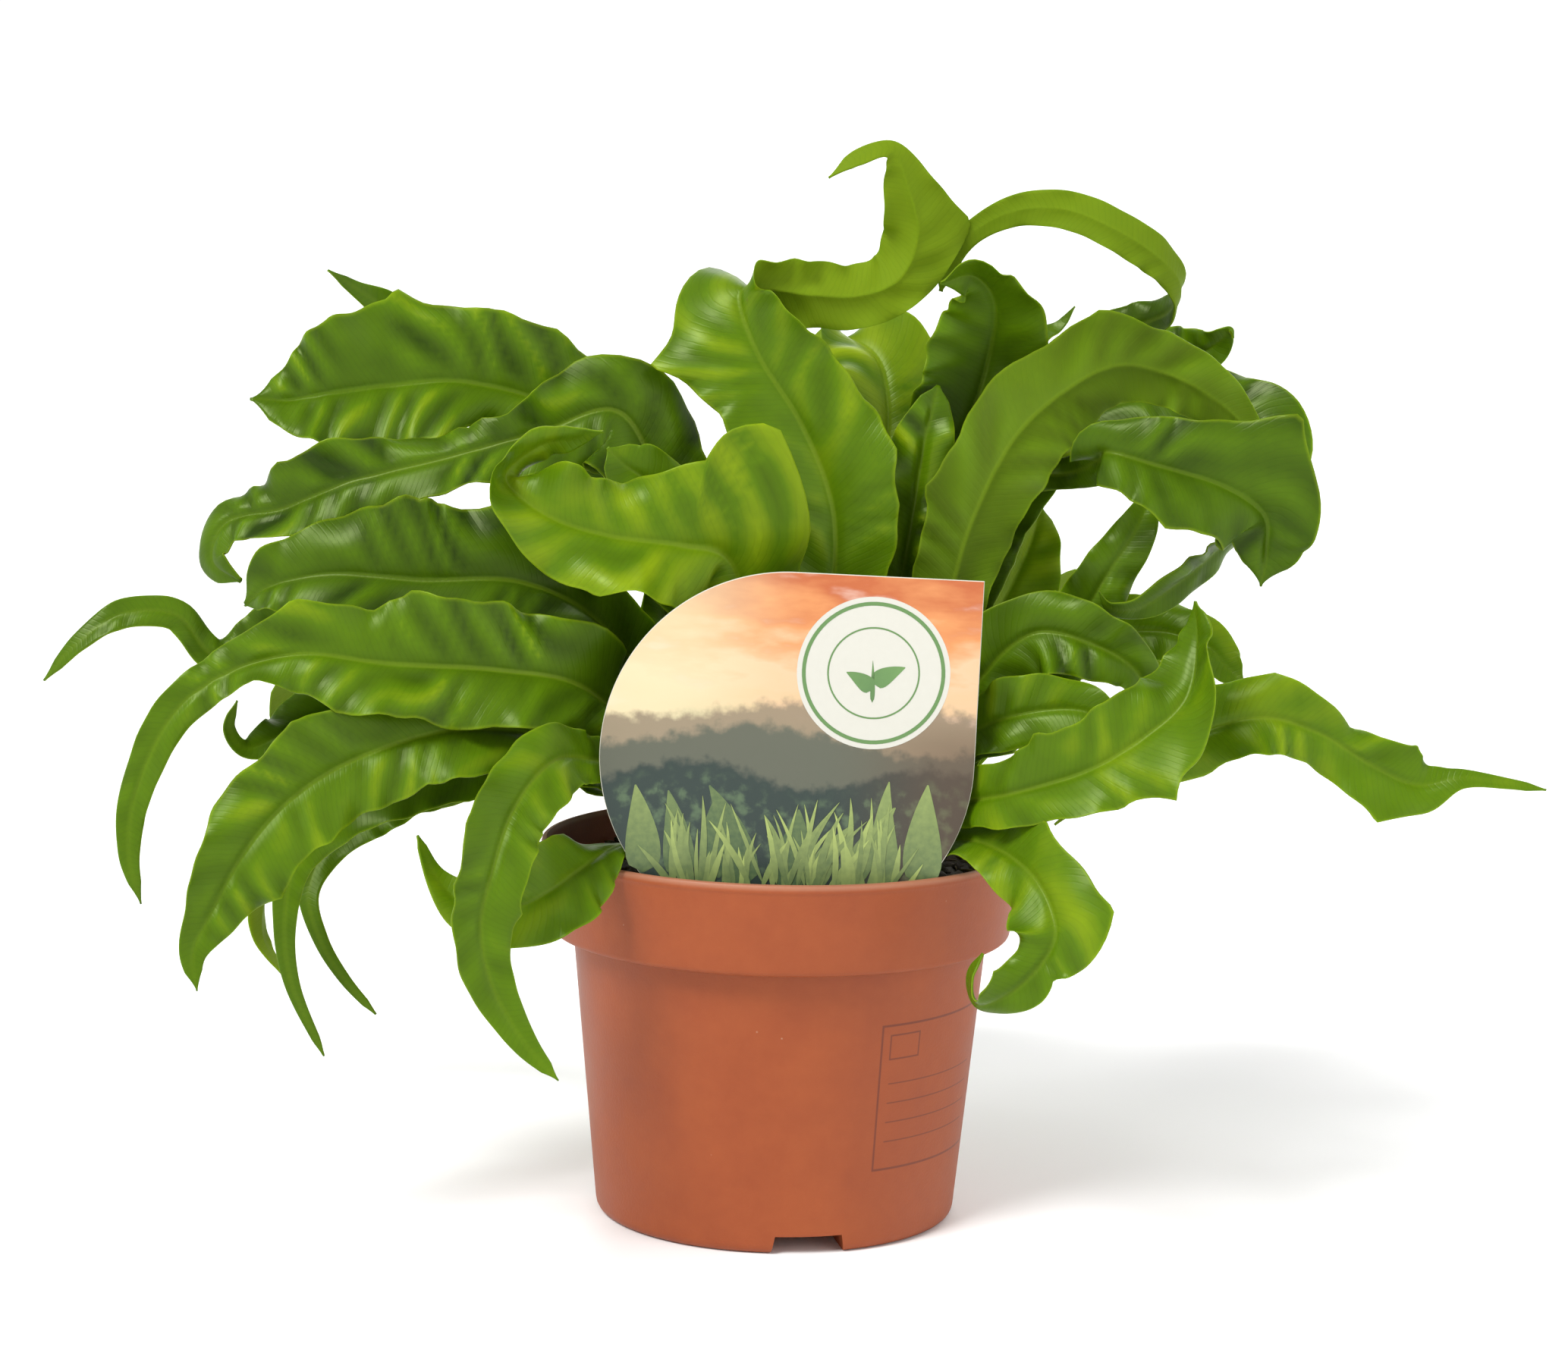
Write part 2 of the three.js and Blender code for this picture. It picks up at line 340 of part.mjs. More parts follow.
// The soil's solid: a turned body whose top rings are raised into lumps
function soilBlock() {
  const { bodyAt, collarAt, floor } = insideProfile(GAP);
  const edge = collarAt(SOIL_EDGE_Z - 1) - 0.2;
  const profile = [[0, floor], [bodyAt(floor) - 1.6, floor], [bodyAt(floor + 1) - 0.4, floor + 1.4],
    [bodyAt(COLLAR_FOOT_Z - 2), COLLAR_FOOT_Z - 2], [bodyAt(COLLAR_FOOT_Z) - 0.2, COLLAR_FOOT_Z + 1.6],
    [collarAt(COLLAR_FOOT_Z + 3) - 0.4, COLLAR_FOOT_Z + 2.2], [edge, SOIL_EDGE_Z - 1.5]];
  const first = profile.length - 1;
  for (let i = 1; i <= SOIL_RINGS; i++) {
    profile.push([edge * (1 - i / SOIL_RINGS), SOIL_EDGE_Z]);
  }
  const geometry = turned(profile, SOIL_SIDES);
  const position = geometry.attributes.position;
  for (let i = 0; i < position.count; i++) {
    if (i % profile.length <= first) continue;
    const x = position.getX(i);
    const y = position.getY(i);
    const rise = SOIL_MOUND * (1 - Math.hypot(x, y) / edge) + SOIL_LUMP * lumpiness(x, y) * 0.5;
    position.setZ(i, position.getZ(i) + rise);
  }
  return solidOf(geometry);
}

function crownHeight(r) {
  return CROWN_TOP_Z - CROWN_DROP * (r / CROWN_RADIUS) ** 2;
}

function crownProfile(outset) {
  const r = CROWN_RADIUS + outset;
  const top = [0.97, 0.6, 0].map((s) => [s * CROWN_RADIUS, crownHeight(s * CROWN_RADIUS) + outset]);
  return [[0, CROWN_ROOT_Z - outset], [r - 5, CROWN_ROOT_Z - outset], [r, CROWN_ROOT_Z + 6], ...top];
}

// Where a frond's stem leaves the crown, and the direction it leaves in
function stemStart(frond) {
  const [angle, radius] = frond.root;
  const a = THREE.MathUtils.degToRad(angle);
  const start = vector(radius * Math.cos(a), radius * Math.sin(a), crownHeight(radius));
  const [across, up, depth] = frond.route[0];
  return { start, along: onSightLine(across, up, depth).sub(start).normalize() };
}

function socket(frond) {
  const { start, along } = stemStart(frond);
  const r = (STEM_RADIUS + GAP) / Math.cos(Math.PI / SOCKET_SIDES);
  const height = SOCKET_DEPTH + GAP + SOCKET_CLEAR;
  const hole = new THREE.CylinderGeometry(r + 0.3, r, height, SOCKET_SIDES);
  hole.translate(0, SOCKET_CLEAR - height / 2, 0);
  hole.applyQuaternion(new THREE.Quaternion().setFromUnitVectors(vector(0, 1, 0), along));
  return solidOf(hole.translate(start.x, start.y, start.z));
}

function makeCrown() {
  let crown = solidOf(turned(crownProfile(0), CROWN_SIDES));
  for (const frond of Object.values(FRONDS)) crown = crown.subtract(socket(frond));
  return named('crown', geometryOf(crown), 'rhizome');
}

function onSightLine(across, up, depth) {
  const k = 1 + depth / EYE_DISTANCE;
  return vector(across * k, depth, EYE_HEIGHT + (up - EYE_HEIGHT) * k);
}

// Catmull-Rom through rows of numbers, at t counted in spans
function through(rows, t) {
  const i = Math.min(Math.floor(t), rows.length - 2);
  const f = t - i;
  const before = rows[i - 1] ?? rows[i].map((p, k) => 2 * p - rows[i + 1][k]);
  const after = rows[i + 2] ?? rows[i + 1].map((p, k) => 2 * p - rows[i][k]);
  return rows[i].map((p, k) => {
    const q = rows[i + 1][k];
    const leave = (q - before[k]) / 2;
    const arrive = (after[k] - p) / 2;
    return ((2 * (p - q) + leave + arrive) * f - 3 * (p - q) - 2 * leave - arrive) * f * f + leave * f + p;
  });
}

// The rows of a frond from the foot of its stem to its tip: centre, half width and the two
// directions across the blade and out of its upper side
function frondRows(frond) {
  const { start, along } = stemStart(frond);
  const first = frond.route[0];
  const knots = [[...start.toArray(), STEM_RADIUS, first[4]]];
  for (const [across, up, depth, half, turn] of frond.route) {
    knots.push([...onSightLine(across, up, depth).toArray(), half, turn]);
  }
  const spans = knots.length - 1;
  const heading = THREE.MathUtils.degToRad(frond.heading);
  const level = vector(-Math.sin(heading), Math.cos(heading), 0);
  const rows = [];
  let length = 0;
  let last = null;
  for (let n = -1; n <= spans * ROWS_PER_SPAN; n++) {
    const t = Math.max(n, 0) / ROWS_PER_SPAN;
    const [x, y, z, half, turn] = through(knots, t);
    const centre = vector(x, y, z);
    const ahead = vector(...through(knots, Math.min(t + 0.001, spans)));
    const behind = vector(...through(knots, Math.max(t - 0.001, 0)));
    const tangent = ahead.sub(behind).normalize();
    if (n < 0) centre.addScaledVector(along, -SOCKET_DEPTH);
    length += last ? centre.distanceTo(last) : 0;
    last = centre;
    const side = level.clone().addScaledVector(tangent, -level.dot(tangent)).normalize();
    const up = vector().crossVectors(tangent, side);
    const a = THREE.MathUtils.degToRad(turn);
    const wide = side.clone().multiplyScalar(Math.cos(a)).addScaledVector(up, Math.sin(a));
    const out = up.multiplyScalar(Math.cos(a)).addScaledVector(side, -Math.sin(a));
    rows.push({ centre, half: Math.max(half, 0.8), wide, out, length });
  }
  return rows;
}

// How far the corners of one margin stand out of the strap at a share of the frond's length
function marginPeak(frond, share, side) {
  return (frond.peaks ?? []).filter((peak) => peak[1] === side)
    .reduce((sum, [place, , height, spread]) => sum + height * Math.exp(-Math.abs(share - place) / spread), 0);
}

// One blade: two faces a thickness apart, folded along the midrib, waved along both margins,
// closed at its margins, its stem's foot and its tip
function frondGeometry(frond) {
  const rows = frondRows(frond);
  const total = rows.at(-1).length;
  const upper = [];
  const lower = [];
  const fold = THREE.MathUtils.degToRad(frond.fold);
  for (const { centre, half, wide, out, length } of rows) {
    const share = length / total;
    const leafy = Math.min(1, Math.max(0, (half - STEM_RADIUS) / 6));
    for (const v of SECTION) {
      const reach = Math.max(half + marginPeak(frond, share, Math.sign(v)), 0.4 * half);
      const start = frond.phase + (v < 0 ? 2.1 : 0);
      const wave = frond.ruffle * leafy * v * v * Math.sin(2 * Math.PI * frond.waves * share + start);
      const lift = Math.abs(v) * reach * Math.sin(fold) * leafy + wave;
      const rib = (STEM_RADIUS - BLADE_THICKNESS / 2) * (1 - Math.abs(v)) * Math.max(0, 1 - share) ** 2;
      const point = centre.clone().addScaledVector(wide, v * reach * Math.cos(fold * leafy));
      upper.push(point.clone().addScaledVector(out, lift + BLADE_THICKNESS / 2 + rib * (1 - leafy)));
      lower.push(point.addScaledVector(out, lift - BLADE_THICKNESS / 2 - rib));
    }
  }
  const width = SECTION.length;
  const at = (row, column) => row * width + column;
  const base = upper.length;
  const triangles = [];
  const quad = (a, b, c, d) => triangles.push(a, b, c, a, c, d);
  for (let i = 0; i + 1 < rows.length; i++) {
    for (let j = 0; j + 1 < width; j++) {
      quad(at(i, j), at(i + 1, j), at(i + 1, j + 1), at(i, j + 1));
      triangles.push(base + at(i, j), base + at(i + 1, j + 1), base + at(i + 1, j));
      triangles.push(base + at(i, j), base + at(i, j + 1), base + at(i + 1, j + 1));
    }
    quad(at(i, 0), base + at(i, 0), base + at(i + 1, 0), at(i + 1, 0));
    const j = width - 1;
    quad(at(i, j), at(i + 1, j), base + at(i + 1, j), base + at(i, j));
  }
  const tip = rows.length - 1;
  for (let j = 0; j + 1 < width; j++) {
    quad(at(0, j), at(0, j + 1), base + at(0, j + 1), base + at(0, j));
    quad(at(tip, j), base + at(tip, j), base + at(tip, j + 1), at(tip, j + 1));
  }
  const geometry = new THREE.BufferGeometry();
  const positions = [...upper, ...lower].flatMap((p) => p.toArray());
  geometry.setAttribute('position', new THREE.Float32BufferAttribute(positions, 3));
  geometry.setIndex(triangles);
  return geometry;
}

function cardOutline(outset) {
  const r = CARD_RADIUS + outset;
  const shape = new THREE.Shape();
  shape.moveTo(r, 0);
  shape.lineTo(r, r);
  shape.lineTo(0, r);
  shape.absarc(0, 0, r, Math.PI / 2, 2 * Math.PI, false);
  return shape;
}

function stakeOutline(outset) {
  const half = STAKE_WIDTH / 2 + outset;
  const top = -CARD_RADIUS + 6;
  const foot = top - STAKE_LENGTH - outset;
  const shape = new THREE.Shape();
  shape.moveTo(-half, top);
  shape.lineTo(-half, foot + STAKE_POINT);
  shape.lineTo(0, foot);
  shape.lineTo(half, foot + STAKE_POINT);
  shape.lineTo(half, top);
  return shape;
}

function labelSolid(outset) {
  const depth = CARD_THICKNESS + 2 * outset;
  const settings = { depth, bevelEnabled: false, curveSegments: 40 };
  const parts = [cardOutline(outset), stakeOutline(outset)].map((outline) => {
    const slab = new THREE.ExtrudeGeometry(outline, settings).translate(0, 0, -depth / 2);
    slab.rotateZ(THREE.MathUtils.degToRad(CARD_TILT));
    slab.rotateX(Math.PI / 2 - THREE.MathUtils.degToRad(CARD_LEAN));
    return solidOf(slab.translate(CARD_CENTRE.x, CARD_CENTRE.y, CARD_CENTRE.z));
  });
  return parts[0].add(parts[1]);
}

function makeSoil() {
  let soil = soilBlock().subtract(solidOf(turned(crownProfile(GAP), CROWN_SIDES)));
  const tunnel = channelSolid(
    POT_WALL + GAP, CHANNEL_HEIGHT + POT_WALL + GAP, CHANNEL_INNER_RADIUS - POT_WALL - GAP);
  for (const angle of channelAngles()) soil = soil.subtract(placed(tunnel, angle));
  return named('potting_soil', geometryOf(soil.subtract(labelSolid(GAP))), 'peat');
}

const plant = new THREE.Group();
plant.add(makePot(), makeSoil(), makeCrown());
plant.add(named('plant_label', geometryOf(labelSolid(0)), 'card'));
for (const [name, frond] of Object.entries(FRONDS)) {
  plant.add(named(name, frondGeometry(frond), 'leaf'));
}

export default plant;
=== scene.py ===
# %% [markdown]
# # A potted bird's nest fern with curling fronds
# The plant stands in a 12 cm nursery pot: strap-shaped fronds rise from one crown, twist and
# ripple, and end in thin tips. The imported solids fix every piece's place and size. This lesson
# puts a fine surface on each of them and lights them as in a bright product photograph.

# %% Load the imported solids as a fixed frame
import math

import bmesh
import bpy
import numpy as np
from mathutils import Matrix, Vector


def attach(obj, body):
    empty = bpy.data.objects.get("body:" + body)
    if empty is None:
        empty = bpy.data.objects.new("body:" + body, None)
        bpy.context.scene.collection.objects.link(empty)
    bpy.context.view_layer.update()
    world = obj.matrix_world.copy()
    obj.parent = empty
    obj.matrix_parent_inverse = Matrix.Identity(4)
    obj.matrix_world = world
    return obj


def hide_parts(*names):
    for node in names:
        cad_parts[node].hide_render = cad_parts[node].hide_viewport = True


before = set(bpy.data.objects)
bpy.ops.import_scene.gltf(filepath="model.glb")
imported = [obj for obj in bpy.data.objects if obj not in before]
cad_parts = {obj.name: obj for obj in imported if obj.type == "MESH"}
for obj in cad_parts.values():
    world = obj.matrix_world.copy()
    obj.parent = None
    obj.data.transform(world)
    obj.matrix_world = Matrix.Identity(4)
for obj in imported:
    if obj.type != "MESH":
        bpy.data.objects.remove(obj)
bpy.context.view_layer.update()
MM = 0.001
print("nodes in the frame:", len(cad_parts))

# %% [markdown]
# ## Camera
# The photographer stood about a metre from the plant and looked down on it by eight degrees.
# A camera's place and turn can be written as a matrix whose columns are its right, up and
# backward directions, which is clearer here than three angles, because the picture also leans
# by a little over a degree.

# %% Camera at the photograph's viewing angle
EYE = Vector((-0.0003, -0.9832, 0.2766))
LOOK_DOWN = math.radians(8.24)
ROLL = math.radians(-1.22)
FOCAL_PIXELS, IMAGE_WIDTH, SENSOR = 5278.0, 2067, 36.0

forward = Vector((0, math.cos(LOOK_DOWN), -math.sin(LOOK_DOWN)))
level_right = Vector((1, 0, 0))
level_up = level_right.cross(forward)
right = math.cos(ROLL) * level_right - math.sin(ROLL) * level_up
up = math.sin(ROLL) * level_right + math.cos(ROLL) * level_up
camera_data = bpy.data.cameras.new("camera")
camera_data.lens = FOCAL_PIXELS / IMAGE_WIDTH * SENSOR
camera_data.sensor_width = SENSOR
camera = bpy.data.objects.new("camera", camera_data)
camera.matrix_world = Matrix((
    (right.x, up.x, -forward.x, EYE.x),
    (right.y, up.y, -forward.y, EYE.y),
    (right.z, up.z, -forward.z, EYE.z),
    (0, 0, 0, 1)))
bpy.context.scene.collection.objects.link(camera)
bpy.context.scene.camera = camera
print(f"lens {camera_data.lens:.1f} mm, {EYE.length:.2f} m from the pot")

# %% [markdown]
# ## Light and floor
# The photograph is a cut-out on white, lit by large soft boxes: the main one at the upper left,
# a weak one at the right, and enough behind that no side is dark. Glossy skin shows where the
# lamps stand, so most of the light comes from lamps and less from the room: its walls are white and
# its ceiling is dim. A sun lamp with a wide angle gives the same soft light all over the floor.

# %% Soft studio light on a pale floor
def soft_box(name, place, strength, degrees):
    data = bpy.data.lights.new(name, "SUN")
    data.energy, data.angle = strength, math.radians(degrees)
    lamp = bpy.data.objects.new(name, data)
    lamp.location = place
    lamp.rotation_euler = Vector(place).to_track_quat("Z", "Y").to_euler()
    bpy.context.scene.collection.objects.link(lamp)


soft_box("key_lamp", (-0.6, -0.7, 1.1), strength=3.3, degrees=24)
soft_box("fill_lamp", (1.0, -0.7, 0.6), strength=0.8, degrees=60)
soft_box("back_lamp", (0.3, 0.9, 0.9), strength=1.2, degrees=50)
world = bpy.data.worlds.new("white_room")
world.use_nodes = True
nodes, links = world.node_tree.nodes, world.node_tree.links
dimmer = nodes.new("ShaderNodeMapRange")
# Z of a direction: below 0.33 it meets a white wall, above 0.60 the dim ceiling
for label, value in (("From Min", 0.33), ("From Max", 0.60), ("To Min", 1.05), ("To Max", 0.30)):
    dimmer.inputs[label].default_value = value
height = nodes.new("ShaderNodeSeparateXYZ")
links.new(nodes.new("ShaderNodeTexCoord").outputs["Generated"], height.inputs[0])
links.new(height.outputs["Z"], dimmer.inputs["Value"])
links.new(dimmer.outputs["Result"], nodes["Background"].inputs["Strength"])
nodes["Background"].inputs["Color"].default_value = (1, 1, 1, 1)
bpy.context.scene.world = world
# The plain transform keeps saturated greens and terracotta as they are set
bpy.context.scene.view_settings.view_transform = "Standard"

FLOOR_RADIUS, FLOOR_SIDES = 40.0, 64
compass = [2 * math.pi * k / FLOOR_SIDES for k in range(FLOOR_SIDES)]
sheet = bpy.data.meshes.new("floor")
sheet.from_pydata([(FLOOR_RADIUS * math.cos(a), FLOOR_RADIUS * math.sin(a), 0) for a in compass],
                  [], [tuple(range(FLOOR_SIDES))])
floor = bpy.data.objects.new("floor", sheet)
bpy.context.scene.collection.objects.link(floor)
print("three soft boxes, a white room with a dim ceiling, and a floor")

# %% [markdown]
# ## Helpers for shaders
# A shader is a graph of nodes. Written out one call at a time it grows long, so `Graph` wraps a
# node tree: it adds a node and feeds its sockets, each with a constant or with a link from
# another node's output. `group_of` makes a node group with named inputs and one output, for an
# effect that several materials share, and `use_group` puts it in a material.

# %% Shader helpers
class Graph:
    def __init__(self, tree):
        self.tree = tree

    def feed(self, sockets, values):
        """Link each socket when its value is a node's output, or else set it."""
        for key, value in values.items():
            if isinstance(value, bpy.types.NodeSocket):
                self.tree.links.new(value, sockets[key])
            else:
                sockets[key].default_value = value

    def add(self, kind, inputs=None, **settings):
        node = self.tree.nodes.new(kind)
        for key, value in settings.items():
            setattr(node, key, value)
        self.feed(node.inputs, inputs or {})
        return node

    def math(self, operation, a, b=0.0, c=0.0):
        return self.add("ShaderNodeMath", {0: a, 1: b, 2: c}, operation=operation).outputs[0]

    def times(self, a, b):
        return self.math("MULTIPLY", a, b)

    def plus(self, a, b):
        return self.math("ADD", a, b)

    def minus(self, a, b):
        return self.math("SUBTRACT", a, b)

    def clamped(self, value):
        return self.math("MINIMUM", self.math("MAXIMUM", value, 0.0), 1.0)

    def smooth_step(self, value, low, high):
        node = self.add("ShaderNodeMapRange", {"Value": value, "From Min": low, "From Max": high},
                        interpolation_type="SMOOTHSTEP")
        return node.outputs["Result"]

    def ramp(self, value, stops):
        node = self.add("ShaderNodeValToRGB", {0: value})
        elements = node.color_ramp.elements
        while len(elements) < len(stops):
            elements.new(1.0)
        for element, (position, colour) in zip(elements, stops):
            element.position, element.color = position, (*colour, 1.0)
        return node.outputs["Color"]

    def mix(self, share, a, b):
        a, b = ((*c, 1.0) if isinstance(c, tuple) else c for c in (a, b))
        return self.add("ShaderNodeMix", {0: share, 6: a, 7: b}, data_type="RGBA").outputs[2]

    def bump(self, height, strength, distance):
        inputs = {"Height": height, "Strength": strength, "Distance": distance}
        return self.add("ShaderNodeBump", inputs).outputs["Normal"]

    def attribute(self, name):
        return self.add("ShaderNodeAttribute", attribute_name=name).outputs["Fac"]

    def shrunk(self, place, size):
        """Coordinates in which one unit is a texture's size."""
        return self.add("ShaderNodeVectorMath", {0: place, "Scale": self.math("DIVIDE", 1.0, size)},
                        operation="SCALE").outputs[0]


def group_of(name, inputs, output):
    """A node group with a vector and named numbers as its inputs, and one number as its output."""
    tree = bpy.data.node_groups.new(name, "ShaderNodeTree")
    tree.interface.new_socket("Vector", in_out="INPUT", socket_type="NodeSocketVector")
    for label, value in inputs.items():
        socket = tree.interface.new_socket(label, in_out="INPUT", socket_type="NodeSocketFloat")
        socket.default_value = value
    tree.interface.new_socket(output, in_out="OUTPUT", socket_type="NodeSocketFloat")
    graph = Graph(tree)
    return graph, graph.add("NodeGroupInput").outputs, graph.add("NodeGroupOutput").inputs


def use_group(graph, tree, **inputs):
    return graph.add("ShaderNodeGroup", inputs, node_tree=tree).outputs[0]


def material_of(name):
    """A new material, its graph, the sockets of its Principled shader, and object coordinates."""
    material = bpy.data.materials.new(name)
    material.use_nodes = True
    g = Graph(material.node_tree)
    skin = material.node_tree.nodes["Principled BSDF"].inputs
    return material, g, skin, g.add("ShaderNodeTexCoord").outputs["Object"]


print("shader helpers ready")

# %% [markdown]
# ## Three shared surface effects
# `mottle` is broad cloudiness, which every real surface has: it shifts colour and gloss a little.
# `fine_grain` is the tiny unevenness of moulded plastic, print and leaf skin, given as a height for
# a Bump node. `specks` scatters small spots, such as dust on the pot or freckles on a frond.

# %% Shader group: mottle
g, inside, out = group_of("mottle", {"Size": 0.02, "Contrast": 1.0}, "Value")
clouds = g.add("ShaderNodeTexNoise", {"Vector": g.shrunk(inside["Vector"], inside["Size"]),
                                      "Scale": 1.0, "Detail": 4.0})
spread = g.math("MULTIPLY_ADD", g.minus(clouds.outputs["Fac"], 0.5), inside["Contrast"], 0.5)
g.feed(out, {"Value": g.clamped(spread)})
MOTTLE = g.tree

# %% Shader group: fine grain
g, inside, out = group_of("fine_grain", {"Size": 0.0006}, "Height")
pebbles = g.add("ShaderNodeTexNoise", {"Vector": g.shrunk(inside["Vector"], inside["Size"]),
                                       "Scale": 1.0, "Detail": 2.0, "Roughness": 0.4})
g.feed(out, {"Height": pebbles.outputs["Fac"]})
GRAIN = g.tree

# %% Shader group: specks
g, inside, out = group_of("specks", {"Spacing": 0.01, "Radius": 0.08, "Share": 0.3}, "Mask")
cells = g.add("ShaderNodeTexVoronoi", {"Vector": g.shrunk(inside["Vector"], inside["Spacing"]),
                                       "Scale": 1.0})
# Each cell's random colour says whether it holds a speck, and how large a one
pick = g.add("ShaderNodeSeparateColor", {0: cells.outputs["Color"]}).outputs
wanted = g.math("LESS_THAN", pick[0], inside["Share"])
radius = g.times(inside["Radius"], g.plus(pick[1], 0.3))
near = g.minus(1.0, g.smooth_step(cells.outputs["Distance"], 0.0, radius))
g.feed(out, {"Mask": g.times(near, wanted)})
SPECKS = g.tree
print("shader groups:", [group.name for group in bpy.data.node_groups])

# %% [markdown]
# ## Turning arrays into closed meshes
# Most of this plant is grids of points: a blade is two grids, a face above and a face below, sewn
# together round their border. Working the points out with arrays keeps a mesh of ten thousand
# faces quick, and both faces get the same split, so a thin waved blade never cuts itself.

# %% Mesh helpers
def mesh_object(name, points, faces, material, smooth=True):
    mesh = bpy.data.meshes.new(name)
    mesh.from_pydata([tuple(p) for p in points], [], [tuple(f) for f in faces])
    mesh.validate()
    mesh.shade_smooth() if smooth else mesh.shade_flat()
    mesh.materials.append(material)
    made = bpy.data.objects.new(name, mesh)
    bpy.context.scene.collection.objects.link(made)
    return made


def sewn_faces(rows, columns):
    """Faces of two grids of rows by columns points, the second one reversed, joined all round."""
    at = np.arange(rows * columns).reshape(rows, columns)
    under = at + rows * columns
    corners = (at[:-1, :-1], at[1:, :-1], at[1:, 1:], at[:-1, 1:])
    top = np.stack([c.ravel() for c in corners], 1)
    bottom = top[:, ::-1] + rows * columns
    ring = np.concatenate([at[:-1, 0], at[-1, :-1], at[:0:-1, -1], at[0, :0:-1]])
    ring_under = np.concatenate([under[:-1, 0], under[-1, :-1], under[:0:-1, -1], under[0, :0:-1]])
    side = np.stack([np.roll(ring, -1), ring, ring_under, np.roll(ring_under, -1)], 1)
    return np.concatenate([top, bottom, side])


def tube_faces(rings, sides):
    """Faces of a tube of rings that all have the same number of points, with both ends closed."""
    at = np.arange(rings * sides).reshape(rings, sides)
    around = np.roll(at, -1, axis=1)
    quads = np.stack([at[:-1], at[1:], around[1:], around[:-1]], 2).reshape(-1, 4)
    return [at[0].tolist(), at[-1][::-1].tolist(), *quads.tolist()]


def face_outward(obj):
    bm = bmesh.new()
    bm.from_mesh(obj.data)
    bmesh.ops.recalc_face_normals(bm, faces=bm.faces)
    bm.to_mesh(obj.data)
    bm.free()


def point_attribute(obj, name, values):
    attribute = obj.data.attributes.new(name, "FLOAT", "POINT")
    attribute.data.foreach_set("value", np.asarray(values, np.float32).ravel())


def dress(obj, node):
    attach(obj, "root")
    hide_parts(node)
    return obj


print("mesh helpers ready")
